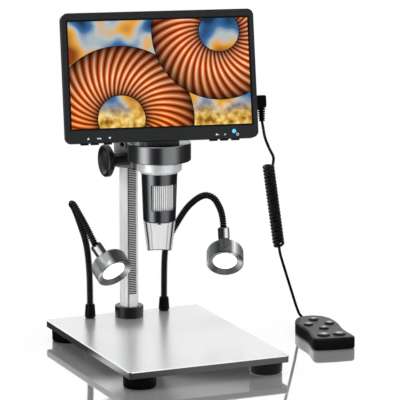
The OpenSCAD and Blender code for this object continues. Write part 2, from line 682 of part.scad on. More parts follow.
module clamp_nut() {
    color("#d4d6d8") head() translate([0, 0, nut_z]) rotate_extrude($fn = 96) polygon([
        [tube_d/2, 0], [nut_d/2 - 0.55*nut_wall, 0], [nut_d/2, 2.2], [nut_d/2, nut_h - 0.5],
        [nut_d/2 - 0.5, nut_h], [tube_d/2, nut_h]]);
}

// wedge of the window, from the optical axis outwards
module window_cut(z, h, grow) {
    a = window_angle/2 + grow;
    translate([0, 0, z]) rotate([0, 0, window_turn - 90]) linear_extrude(h)
        polygon(concat([[0, 0]], [for (k = [-1:0.25:1]) barrel_top_d*[cos(k*a), sin(k*a)]]));
}

module barrel() {
    color("#3a3c3e") head() {
        difference() {
            translate([0, 0, barrel_z]) rotate_extrude($fn = 96) polygon([[tip_top_d/2 - 3, 0],
                [barrel_low_d/2 - 0.8, 0], [barrel_low_d/2, 0.9], [barrel_top_d/2, barrel_l - 0.5],
                [barrel_top_d/2 - 0.5, barrel_l], [tip_top_d/2 - 3, barrel_l]]);
            translate([0, 0, chamber_z]) cylinder(r = bore_r, h = chamber_h);
            translate([0, 0, nut_z - 4.2]) cylinder(r = bore_r, h = 10);
            window_cut(barrel_z + window_z, window_h, 0);
        }
        rotate([0, 0, mark_turn]) translate([0, -barrel_low_d/2 + 1.8, barrel_z - 0.9]) cylinder(r = 1.3, h = 1);
    }
}

tip_arch = 2.2;                                  // rise of the arch in the tip's lower edge
arch_r = (pow(tip_low_d/2, 2) + tip_arch*tip_arch)/(2*tip_arch);
module clear_tip() {
    top_r = tip_top_d/2;
    low_r = tip_low_d/2;
    color([0.85, 0.9, 0.93, 0.35]) head() difference() {
        translate([0, 0, tip_z]) rotate_extrude($fn = 96) polygon([[low_r - tip_wall, 0], [low_r, 0],
            [top_r, tip_l - 1], [top_r, tip_l - seat_gap], [top_r - 4, tip_l - seat_gap],
            [top_r - 4, tip_l - 1.5], [top_r - tip_wall - 1.1, tip_l - 1.5]]);
        rotate([0, 0, mark_turn]) translate([0, 0, tip_z + tip_arch - arch_r]) rotate([90, 0, 0])
            cylinder(r = arch_r, h = 60, center = true, $fn = 128);
        rotate([0, 0, mark_turn]) translate([0, -top_r + 0.4, tip_z + tip_l - 1.2]) cylinder(r = 1.5, h = 3);
    }
}

module sensor_board() {
    color("#1f5a34") head() translate([0, 0, nut_z - 3.6]) {
        cylinder(r = bore_r - 2.1, h = 1.4);
        translate([-4, -4, -1.2]) cube([8, 8, 1.3]);
    }
}

module led_ring() {
    color("#e8e8e0") head() translate([0, 0, barrel_z - 1.2]) {
        difference() {
            cylinder(r = tip_top_d/2 - 4.1, h = 1.1);
            translate([0, 0, -1]) cylinder(r = 5.2, h = 4);
        }
        for (k = [0:7]) rotate([0, 0, 45*k]) translate([7.4, 0, -0.9]) cylinder(r = 1.3, h = 1, $fn = 24);
    }
}

wheel_z = barrel_z + window_z - 2;
wheel_h = window_h + 4;
module focus_wheel() {
    n = wheel_ribs;
    rib = 0.7;
    color("#cfd1d3") head() difference() {
        translate([0, 0, wheel_z]) linear_extrude(wheel_h)
            polygon([for (k = [0:n - 1]) for (q = [[0, 0], [0.22, rib], [0.55, rib], [0.77, 0]])
                let(a = 360*(k + q[0])/n, r = wheel_d/2 - rib + q[1]) r*[cos(a), sin(a)]]);
        translate([0, 0, wheel_z - 1]) cylinder(r = cell_r + run_gap, h = wheel_h + 2);
    }
}

module lens_cell() {
    color("#17181a") head() difference() {
        translate([0, 0, wheel_z - 1]) cylinder(r = cell_r, h = wheel_h - 2);
        translate([0, 0, wheel_z - 2]) cylinder(r = 4, h = 3.5);
        translate([0, 0, wheel_z + wheel_h - 6]) cylinder(r = 6, h = 6);
    }
}

// height of the screen's underside above a point of the head's centre line, less the running gap
under_low = screen_point_z(0, screen_low);
function screen_point_z(y, z) = view_z + z*cos(screen_tilt) - y*sin(screen_tilt);
function under_z(y) = under_low - 0.6 - (y + view_fwd - screen_low*sin(screen_tilt))*tan(screen_tilt);
neck_dip_y = -view_fwd + screen_low*sin(screen_tilt) + (bezel_t - lip)*cos(screen_tilt);
module neck() {
    color("#141414") head() {
        difference() {
            union() {
                translate([-neck_w/2, 0, 0]) rotate([90, 0, 90]) linear_extrude(neck_w) polygon([
                    [-20, ring_top + seat_gap], [22, ring_top + seat_gap], [22, ring_top + 4],
                    [4, ring_top + 3], [neck_dip_y, under_z(neck_dip_y)], [-20, under_z(-20)]]);
                for (s = [-1, 1]) translate([s*(neck_w/2 + lug_w/2 + 0.2)/2, 0, 0]) rotate([90, 0, 90])
                    linear_extrude((neck_w - lug_w)/2 - 0.2, center = true) union() {
                        translate([hinge_y, hinge_z]) circle(r = hinge_r);
                        polygon([[4, ring_top + 1], [22, ring_top + 1], [hinge_y + hinge_r, hinge_z],
                            [hinge_y - hinge_r, hinge_z]]);
                    }
            }
            translate([-neck_w, hinge_y, hinge_z]) along_x() cylinder(r = pin_d/2, h = 2*neck_w);
            translate([-lug_w/2 - 0.25, -21, ring_top]) cube([0.5, 1.6, 8]);
        }
    }
}

module hinge_pin() {
    color("silver") head() translate([-neck_w/2, hinge_y, hinge_z]) along_x() cylinder(r = pin_d/2, h = neck_w);
}

// ---------- screen ----------
module front_bezel() {
    color("#3a3c3d") screen() difference() {
        screen_slab(-screen_w/2, screen_w/2, screen_low, screen_top, -lip, bezel_t - lip, screen_corner);
        translate([-view_w/2, -lip - 1, -view_h/2]) cube([view_w, 4, view_h]);
        translate([-view_w/2 - panel_edge - 0.1, 0.4, -view_h/2 - panel_edge - 0.1])
            cube([view_w + 2*panel_edge + 0.2, bezel_t, view_h + 2*panel_edge + 0.2]);
        for (x = button_x) translate([x - button_w/2 - button_gap, button_y0 - button_gap, screen_low - 1])
            cube([button_w + 2*button_gap, button_depth + 2*button_gap, 9.4]);
        translate([screen_w/2 - 8, jack_y, jack_z]) along_x() cylinder(r = 3 + screw_gap, h = 12);
        translate([61, -lip - 1, screen_low + 6]) along_y() cylinder(r = 1.7 + run_gap, h = 3.3);
    }
}
button_y0 = 2.6;

// how far the hinge axis lies behind and below the picture's centre, in the screen's frame
hinge_local = turn_x([0, hinge_y + view_fwd, hinge_z - view_z], screen_tilt);

module rear_cover() {
    y0 = bezel_t - lip + 0.05;
    mid_y = y0 + (back_y - y0)*0.55;
    color("#2c2e2f") screen() difference() {
        union() {
            hull() {
                for (q = [[0, y0 + 1.2], [cover_bevel*0.3, mid_y], [cover_bevel, back_y]])
                    screen_slab(-screen_w/2 + q[0], screen_w/2 - q[0], screen_low + q[0],
                        screen_top - q[0], y0, q[1], screen_corner, $fn = 32);
            }
            translate([-lug_w/2, 0, 0]) rotate([90, 0, 90]) linear_extrude(lug_w) union() {
                translate([hinge_local.y, hinge_local.z]) circle(r = hinge_r);
                polygon([[back_y - 1, hinge_local.z - hinge_r + 1], [hinge_local.y, hinge_local.z - hinge_r],
                    [hinge_local.y + hinge_r, hinge_local.z], [back_y - 1, hinge_local.z + 16]]);
            }
        }
        translate([-screen_w/2 + cover_bevel + 1, y0 - 1, screen_low + cover_bevel + 1])
            cube([screen_w - 2*cover_bevel - 2, back_y - wall - y0 + 1,
                screen_top - screen_low - 2*cover_bevel - 2]);
        translate([screen_w/2 - 8, jack_y, jack_z]) along_x() cylinder(r = 3 + screw_gap, h = 12);
        translate([-lug_w, hinge_local.y, hinge_local.z]) along_x() cylinder(r = pin_d/2 + run_gap, h = 2*lug_w);
        // card slot and charging socket in the right edge
        translate([screen_w/2 - 8, y0 + 3, -4]) cube([12, 1.4, 12]);
        translate([screen_w/2 - 8, y0 + 2.2, 14]) cube([12, 3.2, 8.6]);
        // cooling slots
        for (k = [0:7]) translate([-21 + k*6 - 1, back_y - 5, 28]) cube([2, 10, 14]);
        cover_screw_places() { cylinder(r = 1.3 + screw_gap, h = 30); cylinder(r = 2.7, h = 3); }
    }
}
module cover_screw_places() {
    for (x = [-1, 1], z = [screen_low + 12, screen_top - 12])
        translate([x*(screen_w/2 - 12), back_y - 2.2, z]) rotate([-90, 0, 0]) children();
}
module cover_screws() {
    color("#404040") screen() cover_screw_places() {
        translate([0, 0, 0.1]) cylinder(r = 2.5, h = 1.5);
        translate([0, 0, -1.5]) cylinder(r = 1.3, h = 2);
    }
}

module lcd_panel() {
    color("#c06a35") screen() translate([-view_w/2 - panel_edge, 0.45, -view_h/2 - panel_edge])
        cube([view_w + 2*panel_edge, 3.2, view_h + 2*panel_edge]);
}

module main_board() {
    color("#1f5a34") screen() {
        translate([-board_w/2, 7.4, -board_h/2 - 1]) cube([board_w, 1.6, board_h]);
        for (x = [-1, 1], z = [-1, 1]) translate([x*(board_w/2 - 6), 3.7, z*(board_h/2 - 4) - 1]) along_y()
            cylinder(r = 2.5, h = 4);
        translate([-8, 9, -8]) cube([16, 1.4, 16]);
    }
}

module battery() {
    color("#7a8890") screen() translate([14, back_y - wall - 0.8 - battery_t, -battery_h/2])
        cube([battery_w, battery_t, battery_h]);
}

module remote_jack() {
    color("#101010") screen() difference() {
        translate([screen_w/2 - 7.9, jack_y, jack_z]) along_x() cylinder(r = 3, h = 7.8);
        translate([screen_w/2 - 6, jack_y, jack_z]) along_x() cylinder(r = 1.75 + run_gap, h = 8);
    }
}

module status_light() {
    color("#7de0f5") screen() translate([61, -lip - 0.2, screen_low + 6]) along_y() cylinder(r = 1.7, h = 2.4);
}

module screen_button(i) {
    color("#191a1b") screen() translate([button_x[i], button_y0 + button_depth/2, screen_low - button_out])
        round_box(button_w, button_depth, 8, 0.8);
}

base_plate();
rubber_feet();
foot_screws();
column_collar();
column();
rack();
column_cap();
lamp_boots();
left_gooseneck();
right_gooseneck();
remote_top();
remote_base();
remote_board();
remote_button(0);  // remote_button_up
remote_button(1);  // remote_button_left
remote_button(2);  // remote_button_right
remote_button(3);  // remote_button_down
remote_button(4);  // remote_button_photo
remote_button(5);  // remote_button_video
cord_lower();
cord_coil();
cord_coil_top();
carriage();
holder_ring();
arm_screws();
clamp_screws();
focus_knobs();
pinion_shaft();
neck();
scope_tube();
clamp_nut();
barrel();
clear_tip();
sensor_board();
led_ring();
hinge_pin();
focus_wheel();
lens_cell();
front_bezel();
rear_cover();
lcd_panel();
main_board();
battery();
cover_screws();
remote_jack();
status_light();
plug();
cord_upper();
screen_button(0);  // screen_button_1
screen_button(1);  // screen_button_2
screen_button(2);  // screen_button_3
screen_button(3);  // screen_button_4
screen_button(4);  // screen_button_5
screen_button(5);  // screen_button_6
lamp_head(left_lamp);  // left_lamp_head
lamp_lens(left_lamp);  // left_lamp_lens
lamp_sleeve(left_lamp);  // left_lamp_sleeve
lamp_head(right_lamp);  // right_lamp_head
lamp_lens(right_lamp);  // right_lamp_lens
lamp_sleeve(right_lamp);  // right_lamp_sleeve
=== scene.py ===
import math
import bmesh
import bpy
from mathutils import Matrix, Vector


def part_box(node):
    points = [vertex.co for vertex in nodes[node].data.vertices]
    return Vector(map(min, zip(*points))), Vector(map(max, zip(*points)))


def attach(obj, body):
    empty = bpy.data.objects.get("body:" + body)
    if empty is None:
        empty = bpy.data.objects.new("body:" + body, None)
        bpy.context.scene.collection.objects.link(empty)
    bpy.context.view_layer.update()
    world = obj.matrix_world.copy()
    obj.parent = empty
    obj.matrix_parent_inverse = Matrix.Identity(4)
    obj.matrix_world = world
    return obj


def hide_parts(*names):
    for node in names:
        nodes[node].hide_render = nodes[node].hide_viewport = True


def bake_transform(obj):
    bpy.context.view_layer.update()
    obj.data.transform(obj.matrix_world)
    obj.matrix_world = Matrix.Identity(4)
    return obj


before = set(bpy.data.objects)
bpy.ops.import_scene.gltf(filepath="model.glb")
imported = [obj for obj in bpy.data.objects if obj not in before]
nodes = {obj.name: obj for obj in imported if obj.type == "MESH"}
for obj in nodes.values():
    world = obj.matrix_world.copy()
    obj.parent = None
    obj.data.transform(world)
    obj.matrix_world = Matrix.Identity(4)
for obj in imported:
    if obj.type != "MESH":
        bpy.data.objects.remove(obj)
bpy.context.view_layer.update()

# ---------- studio: camera, table, backdrop and soft boxes ----------
# A long lens stands two and a half metres off to the front left and looks slightly down on a pale
# glossy table. Polished pieces see black flags, a white strip and a wider grey one laid round the
# object, which give their walls the dark and bright bands of a product shot.
MM = 0.001
table_top = -16.5
table_gap = 0.2
glow_from, glow_full = 0.22, 0.7
camera_turn = math.radians(22.5)
to_camera = (-math.sin(camera_turn), -math.cos(camera_turn), 0)


def placed(name, data):
    """A new object in the scene, made of the given mesh, curve, lamp or camera."""
    made = bpy.data.objects.new(name, data)
    bpy.context.scene.collection.objects.link(made)
    return made


def shaped(name, form):
    """A new object with the shape of a bmesh."""
    mesh = bpy.data.meshes.new(name)
    form.to_mesh(mesh)
    form.free()
    return placed(name, mesh)


def linear(code):
    """A colour written in hex, as the linear values that a shader takes."""
    part = [int(code[i:i + 2], 16) / 255 for i in (1, 3, 5)]
    return tuple(c / 12.92 if c <= 0.04045 else ((c + 0.055) / 1.055) ** 2.4 for c in part) + (1.0,)


def feed(node, inputs):
    """Gives a node's inputs their links or their values."""
    for key, value in inputs.items():
        if isinstance(value, bpy.types.NodeSocket):
            node.id_data.links.new(value, node.inputs[key])
        else:
            node.inputs[key].default_value = value


def add(tree, kind, inputs=None, ramp=None, **settings):
    """Adds a node with its settings, its values or links, and the stops of its ramp."""
    made = tree.nodes.new(kind)
    for key, value in settings.items():
        setattr(made, key, value)
    feed(made, inputs or {})
    if ramp:
        stops = made.color_ramp.elements
        while len(stops) < len(ramp):
            stops.new(0.5)
        for stop, (place, code) in zip(stops, ramp):
            stop.position = place
            stop.color = linear(code)
    return made


def share_of_turn(tree, direction):
    """How far round the object a direction lies, from 0 to 1, with the camera's side at one half."""
    turned = add(tree, "ShaderNodeMapping", {"Vector": direction, "Rotation": (0, 0, camera_turn)})
    way = add(tree, "ShaderNodeSeparateXYZ", {0: turned.outputs[0]})
    back = add(tree, "ShaderNodeMath", {0: way.outputs["Y"], 1: -1.0}, operation="MULTIPLY")
    angle = add(tree, "ShaderNodeMath", {0: way.outputs["X"], 1: back.outputs[0]}, operation="ARCTAN2")
    share = add(tree, "ShaderNodeMapRange", {
        "Value": angle.outputs[0], "From Min": -math.pi, "From Max": math.pi})
    return share.outputs[0]


camera = placed("camera", bpy.data.cameras.new("camera"))
camera.data.sensor_width = 36
camera.data.lens = 271.9
camera.data.clip_end = 100
camera.location = (-0.96066, -2.32235, 0.64038)
camera.rotation_euler = (math.radians(78.24), 0, math.radians(-23.26))
bpy.context.scene.camera = camera
bpy.context.scene.view_settings.view_transform = "Standard"

# the table is matt to the lamps and mirrors the object to the eye, and its far part glows white
table = bmesh.new()
bmesh.ops.create_grid(table, x_segments=1, y_segments=1, size=15)
bmesh.ops.translate(table, vec=(0, 0, (table_top - table_gap) * MM), verts=table.verts)
floor = shaped("floor", table)
table_finish = bpy.data.materials.new("white_table")
table_finish.use_nodes = True
tree = table_finish.node_tree
tree.nodes.clear()
matt = add(tree, "ShaderNodeBsdfDiffuse", {"Color": linear("#F8F8F8")})
mirror = add(tree, "ShaderNodeBsdfGlossy", {"Color": linear("#FFFFFF"), "Roughness": 0.05})
glow = add(tree, "ShaderNodeEmission", {"Color": linear("#FFFFFF"), "Strength": 1.0})
path = add(tree, "ShaderNodeLightPath")
looked = add(tree, "ShaderNodeMath", {
    0: path.outputs["Is Camera Ray"], 1: path.outputs["Is Transmission Ray"]}, operation="MAXIMUM")
polish = add(tree, "ShaderNodeMath", {0: looked.outputs[0], 1: 0.84}, operation="MULTIPLY")
lit = add(tree, "ShaderNodeMixShader", {0: polish.outputs[0], 1: matt.outputs[0], 2: mirror.outputs[0]})
place = add(tree, "ShaderNodeTexCoord")
far = add(tree, "ShaderNodeVectorMath", {0: place.outputs["Object"]}, operation="LENGTH")
fade = add(tree, "ShaderNodeMapRange", {
    "Value": far.outputs["Value"], "From Min": glow_from, "From Max": glow_full, "To Min": 0.04,
    "To Max": 1.0})
seen = add(tree, "ShaderNodeMath", {0: looked.outputs[0], 1: fade.outputs[0]}, operation="MULTIPLY")
eyed = add(tree, "ShaderNodeMixShader", {0: seen.outputs[0], 1: lit.outputs[0], 2: glow.outputs[0]})
flags = add(tree, "ShaderNodeValToRGB", {"Fac": share_of_turn(tree, place.outputs["Object"])}, ramp=[
    (0.0, "#5A5A5A"), (0.12, "#202020"), (0.27, "#2C2C2C"), (0.325, "#F8F8F8"), (0.365, "#FFFFFF"),
    (0.41, "#505050"), (0.45, "#242424"), (0.515, "#262626"), (0.55, "#9C9C9C"), (0.66, "#A8A8A8"),
    (0.72, "#2C2C2C"), (0.9, "#202020"), (1.0, "#5A5A5A")])
cards = add(tree, "ShaderNodeEmission", {"Color": flags.outputs[0], "Strength": 2.6})
surface = add(tree, "ShaderNodeMixShader", {
    0: path.outputs["Is Glossy Ray"], 1: eyed.outputs[0], 2: cards.outputs[0]})
add(tree, "ShaderNodeOutputMaterial", {"Surface": surface.outputs[0]})
floor.data.materials.append(table_finish)

# the backdrop is white to the eye; polished pieces see a room that is dark behind the camera, and
# one upright strip light that stands to the left of the camera, over the white strip on the table
world = bpy.data.worlds.new("studio")
world.use_nodes = True
bpy.context.scene.world = world
tree = world.node_tree
tree.nodes.clear()
path = add(tree, "ShaderNodeLightPath")
looked = add(tree, "ShaderNodeMath", {
    0: path.outputs["Is Camera Ray"], 1: path.outputs["Is Transmission Ray"]}, operation="MAXIMUM")
place = add(tree, "ShaderNodeTexCoord")
front = add(tree, "ShaderNodeVectorMath", {
    0: place.outputs["Generated"], 1: to_camera}, operation="DOT_PRODUCT")
room = add(tree, "ShaderNodeValToRGB", {"Fac": front.outputs["Value"]}, ramp=[
    (0.0, "#FFFFFF"), (0.3, "#F2F2F2"), (0.6, "#606060"), (0.8, "#303030"), (1.0, "#262626")])
strip = add(tree, "ShaderNodeValToRGB", {"Fac": share_of_turn(tree, place.outputs["Generated"])}, ramp=[
    (0.30, "#000000"), (0.34, "#FFFFFF"), (0.37, "#FFFFFF"), (0.41, "#000000")])
around = add(tree, "ShaderNodeMix", {
    0: 1.0, 6: room.outputs[0], 7: strip.outputs[0]}, data_type="RGBA", blend_type="ADD")
fill = add(tree, "ShaderNodeBackground", {"Color": linear("#EFF0F0"), "Strength": 0.45})
white = add(tree, "ShaderNodeBackground", {"Color": linear("#FFFFFF"), "Strength": 1.0})
mirrored = add(tree, "ShaderNodeBackground", {"Color": around.outputs[2], "Strength": 1.0})
sky = add(tree, "ShaderNodeMixShader", {
    0: path.outputs["Is Glossy Ray"], 1: fill.outputs[0], 2: mirrored.outputs[0]})
sky = add(tree, "ShaderNodeMixShader", {0: looked.outputs[0], 1: sky.outputs[0], 2: white.outputs[0]})
add(tree, "ShaderNodeOutputWorld", {"Surface": sky.outputs[0]})


def soft_box(name, at, width, height, power):
    """An area lamp that faces the middle of the object."""
    lamp = bpy.data.lights.new(name, "AREA")
    lamp.shape = "RECTANGLE"
    lamp.size, lamp.size_y, lamp.energy = width, height, power
    made = placed(name, lamp)
    made.visible_glossy = False
    made.location = at
    made.rotation_euler = (Vector((0, 0, 0.12)) - Vector(at)).to_track_quat("-Z", "Y").to_euler()


soft_box("left_strip", (-1.55, -0.30, 0.55), 0.45, 1.6, 11)
soft_box("front_right_box", (0.75, -1.75, 0.75), 1.3, 1.2, 15)
soft_box("top_box", (0.1, 0.3, 1.7), 1.6, 1.6, 20)

# ---------- base plate on its rubber feet ----------
# A 6 mm aluminium plate, fine blasted and clear anodised on top. Its chamfer is painted bright as a
# highlight, and its milled edges are painted darker as shade. A moulded rubber foot is screwed under
# each corner, and a rubber boot stands round the foot of each lamp's neck.


def scale_for(width):
    """The scale that makes a pattern's grains or lines as wide as the given millimetres."""
    return 1 / (width * MM)


def material(name, **values):
    """A new material with the given values on its shader's own sockets."""
    made = bpy.data.materials.new(name)
    made.use_nodes = True
    shader = made.node_tree.nodes["Principled BSDF"]
    feed(shader, {key.replace("_", " "): value for key, value in values.items()})
    return made, made.node_tree, shader


def grained(name, width, tones=None, gloss=None, relief=None, detail=2.0, shines=False, **values):
    """A finish with one even grain, which varies its tone, its roughness and its relief.

    Real grain is too fine to show, so most grains are drawn about a millimetre wide.
    """
    made, tree, shader = material(name, **values)
    place = add(tree, "ShaderNodeTexCoord")
    grain = add(tree, "ShaderNodeTexNoise", {
        "Vector": place.outputs["Object"], "Scale": scale_for(width), "Detail": detail})
    if tones:
        tone = add(tree, "ShaderNodeValToRGB", {"Fac": grain.outputs["Fac"]}, ramp=tones)
        feed(shader, {"Emission Color" if shines else "Base Color": tone.outputs[0]})
    if gloss:
        rough = add(tree, "ShaderNodeMapRange", {
            "Value": grain.outputs["Fac"], "To Min": gloss[0], "To Max": gloss[1]})
        feed(shader, {"Roughness": rough.outputs[0]})
    if relief:
        bump = add(tree, "ShaderNodeBump", {
            "Height": grain.outputs["Fac"], "Strength": relief[0], "Distance": relief[1] * MM})
        feed(shader, {"Normal": bump.outputs[0]})
    return made


def dress(finish, *names):
    """Gives the named pieces this finish alone."""
    for name in names:
        nodes[name].data.materials.clear()
        nodes[name].data.materials.append(finish)


# blasted and anodised aluminium: an even pale face, and a speckle drawn much coarser than the
# blast's own grit, so that it shows
anodised, tree, shader = material("blasted_anodised_aluminium", Metallic=0.65, Roughness=0.25)
place = add(tree, "ShaderNodeTexCoord")
facing = add(tree, "ShaderNodeNewGeometry")
up = add(tree, "ShaderNodeSeparateXYZ", {0: facing.outputs["Normal"]})
# painted light and shade by how far each face turns up: the sides darker as shade, the chamfer brightest as
# a highlight, the top pale
tone = add(tree, "ShaderNodeValToRGB", {"Fac": up.outputs["Z"]}, ramp=[
    (0.0, "#525554"), (0.45, "#5E6160"), (0.62, "#FAFAFA"), (0.8, "#F7F7F7"), (0.93, "#ECECEC")])
speck = add(tree, "ShaderNodeTexNoise", {
    "Vector": place.outputs["Object"], "Scale": scale_for(0.625), "Detail": 4.0})
cloud = add(tree, "ShaderNodeTexNoise", {
    "Vector": place.outputs["Object"], "Scale": scale_for(71.43), "Detail": 3.0})
speckle = add(tree, "ShaderNodeMapRange", {"Value": speck.outputs["Fac"], "To Min": 0.94, "To Max": 1.04})
clouds = add(tree, "ShaderNodeMapRange", {
    "Value": cloud.outputs["Fac"], "From Min": 0.3, "From Max": 0.7, "To Min": 0.97, "To Max": 1.02})
uneven = add(tree, "ShaderNodeMath", {0: speckle.outputs[0], 1: clouds.outputs[0]}, operation="MULTIPLY")
shade = add(tree, "ShaderNodeVectorMath", {
    0: tone.outputs[0], "Scale": uneven.outputs[0]}, operation="SCALE")
bump = add(tree, "ShaderNodeBump", {"Height": speck.outputs["Fac"], "Strength": 0.12, "Distance": 0.2 * MM})
feed(shader, {"Base Color": shade.outputs["Vector"], "Normal": bump.outputs[0]})
dress(anodised, "base_plate")

# moulded rubber: near black, with the dull skin of a blasted mould, drawn coarser than it is
moulded_rubber = grained("moulded_rubber", width=0.909, tones=[(0.25, "#040404"), (0.8, "#0C0C0C")],
                         relief=(0.2, 0.2), detail=4.0, Roughness=0.3, Specular_IOR_Level=0.12)
dress(moulded_rubber, "rubber_feet", "lamp_boots")

# zinc plate over steel: pale grey with the cloudy bloom of the bath
zinc_steel = grained("zinc_plated_steel", width=2.0, tones=[(0.3, "#A9ABAC"), (0.7, "#C9CBCB")],
                     gloss=(0.25, 0.4), detail=3.0, Metallic=1.0)
dress(zinc_steel, "foot_screws", "arm_screws", "hinge_pin", "pinion_shaft", "cover_screws")

# ---------- column with its rack, collar and cap ----------
# Drawn aluminium bar with the fine upright lines that the die leaves, and a milled steel rack let
# into its front. The collar at its foot and the cap on its top are black.
draw_width = 1.111
draw_length = 277.8
drawn, tree, shader = material("drawn_aluminium", Metallic=0.04)
place = add(tree, "ShaderNodeTexCoord")
# the lines run nearly the whole bar, and are drawn wider than real ones so that they show
long = add(tree, "ShaderNodeMapping", {
    "Vector": place.outputs["Object"], "Scale": (1.0, 1.0, draw_width / draw_length)})
lines = add(tree, "ShaderNodeTexNoise", {
    "Vector": long.outputs[0], "Scale": scale_for(draw_width), "Detail": 3.0})
tone = add(tree, "ShaderNodeValToRGB", {"Fac": lines.outputs["Fac"]}, ramp=[
    (0.3, "#EDEEEE"), (0.5, "#F7F7F7"), (0.72, "#FFFFFF")])
rough = add(tree, "ShaderNodeMapRange", {"Value": lines.outputs["Fac"], "To Min": 0.2, "To Max": 0.42})
bump = add(tree, "ShaderNodeBump", {"Height": lines.outputs["Fac"], "Strength": 0.12, "Distance": 0.2 * MM})
feed(shader, {"Base Color": tone.outputs[0], "Roughness": rough.outputs[0], "Normal": bump.outputs[0]})
dress(drawn, "column")

# milled steel: the cutter's marks run across each tooth; the crests are painted bright as a highlight
# and the roots behind them are painted near black as shade
tooth_crest = 60.6
tooth_root = 61.7
mark_width = 0.6667
mark_length = 13.33
milled, tree, shader = material("milled_rack_steel", Metallic=0.3, Roughness=0.38)
place = add(tree, "ShaderNodeTexCoord")
long = add(tree, "ShaderNodeMapping", {
    "Vector": place.outputs["Object"], "Scale": (mark_width / mark_length, 1.0, 1.0)})
marks = add(tree, "ShaderNodeTexNoise", {
    "Vector": long.outputs[0], "Scale": scale_for(mark_width), "Detail": 2.0})
depth = add(tree, "ShaderNodeSeparateXYZ", {0: place.outputs["Object"]})
root = add(tree, "ShaderNodeMapRange", {
    "Value": depth.outputs["Y"], "From Min": tooth_crest * MM, "From Max": tooth_root * MM})
# painted highlight on the crests and painted shade in the roots, by depth into the teeth
tone = add(tree, "ShaderNodeValToRGB", {"Fac": root.outputs[0]}, ramp=[
    (0.0, "#FFFFFF"), (0.16, "#E4E6E3"), (0.34, "#1C1D1C"), (1.0, "#020202")])
dull = add(tree, "ShaderNodeMapRange", {"Value": marks.outputs["Fac"], "To Min": 0.85, "To Max": 1.1})
shade = add(tree, "ShaderNodeVectorMath", {0: tone.outputs[0], "Scale": dull.outputs[0]}, operation="SCALE")
feed(shader, {"Base Color": shade.outputs["Vector"]})
dress(milled, "rack")

# black enamel, sprayed: dark with soft highlights and a faint orange peel
enamel = grained("black_enamel", width=2.857, relief=(0.06, 0.4), detail=1.0,
                 Base_Color=linear("#040405"), Roughness=0.26, Specular_IOR_Level=0.55)
dress(enamel, "column_collar", "clamp_screws")

# ---------- carriage on the column ----------
# A die-cast sleeve under grey enamel, with the pinion's housing cast on its front. The enamel
# follows the casting's skin, so it has a soft, slightly pitted look.
cast = grained("grey_enamelled_casting", width=2.381, tones=[(0.25, "#8E908E"), (0.75, "#B4B6B3")],
               relief=(0.15, 0.3), detail=4.0, Roughness=0.4, Metallic=0.25)
dress(cast, "carriage")

# ---------- coarse focus knobs ----------
# Black ABS discs on the ends of the pinion's shaft, each with a turned aluminium disc glued into
# the recess of its outer face. The ABS is glossy, and the disc shows the lathe's rings.
shaft_y, shaft_z = 56.6, 143.2
inlay_radius = 9.2
inlay_from = 26.2
knob_abs, tree, shader = material("glossy_black_abs_with_inlay", Roughness=0.28, Specular_IOR_Level=0.4)
place = add(tree, "ShaderNodeTexCoord")
centred = add(tree, "ShaderNodeVectorMath", {
    0: place.outputs["Object"], 1: (0, shaft_y * MM, shaft_z * MM)}, operation="SUBTRACT")
flat = add(tree, "ShaderNodeVectorMath", {0: centred.outputs[0], 1: (0, 1, 1)}, operation="MULTIPLY")
reach = add(tree, "ShaderNodeVectorMath", {0: flat.outputs[0]}, operation="LENGTH")
spot = add(tree, "ShaderNodeSeparateXYZ", {0: place.outputs["Object"]})
out = add(tree, "ShaderNodeMath", {0: spot.outputs["X"]}, operation="ABSOLUTE")
outer = add(tree, "ShaderNodeMath", {0: out.outputs[0], 1: inlay_from * MM}, operation="GREATER_THAN")
inner = add(tree, "ShaderNodeMath", {
    0: reach.outputs["Value"], 1: inlay_radius * MM}, operation="LESS_THAN")
inlay = add(tree, "ShaderNodeMath", {0: inner.outputs[0], 1: outer.outputs[0]}, operation="MULTIPLY")
rings = add(tree, "ShaderNodeTexNoise", {
    "W": reach.outputs["Value"], "Scale": scale_for(0.4), "Detail": 2.0}, noise_dimensions="1D")
grey = add(tree, "ShaderNodeValToRGB", {"Fac": rings.outputs["Fac"]}, ramp=[
    (0.3, "#3C3F41"), (0.7, "#5C5F61")])
grain = add(tree, "ShaderNodeTexNoise", {
    "Vector": place.outputs["Object"], "Scale": scale_for(0.769), "Detail": 3.0})
black = add(tree, "ShaderNodeValToRGB", {"Fac": grain.outputs["Fac"]}, ramp=[
    (0.3, "#0A0B0C"), (0.75, "#151617")])
tone = add(tree, "ShaderNodeMix", {
    0: inlay.outputs[0], 6: black.outputs[0], 7: grey.outputs[0]}, data_type="RGBA")
metal = add(tree, "ShaderNodeMath", {0: inlay.outputs[0], 1: 0.8}, operation="MULTIPLY")
feed(shader, {"Base Color": tone.outputs[2], "Metallic": metal.outputs[0]})
dress(knob_abs, "focus_knobs")

# ---------- holder ring, threaded tube, barrel and clamp nut ----------
# Turned aluminium. The ring and the tube are polished and anodised gunmetal, the barrel is darker,
# and the nut is left bright with a satin face. The lathe leaves rings too fine to see one by one,
# drawn at 0.4 mm, which break each highlight a little from ring to ring.


def turned_bar(name, ring, metallic, gloss, tones):
    """Turned aluminium, with a tone and a roughness that change from ring to ring up its axis."""
    made, tree, shader = material(name, Metallic=metallic)
    place = add(tree, "ShaderNodeTexCoord")
    spot = add(tree, "ShaderNodeSeparateXYZ", {0: place.outputs["Object"]})
    lines = add(tree, "ShaderNodeTexNoise", {
        "W": spot.outputs["Z"], "Scale": scale_for(ring), "Detail": 2.0}, noise_dimensions="1D")
    tone = add(tree, "ShaderNodeValToRGB", {"Fac": lines.outputs["Fac"]}, ramp=tones)
    rough = add(tree, "ShaderNodeMapRange", {
        "Value": lines.outputs["Fac"], "To Min": gloss[0], "To Max": gloss[1]})
    feed(shader, {"Base Color": tone.outputs[0], "Roughness": rough.outputs[0]})
    return made


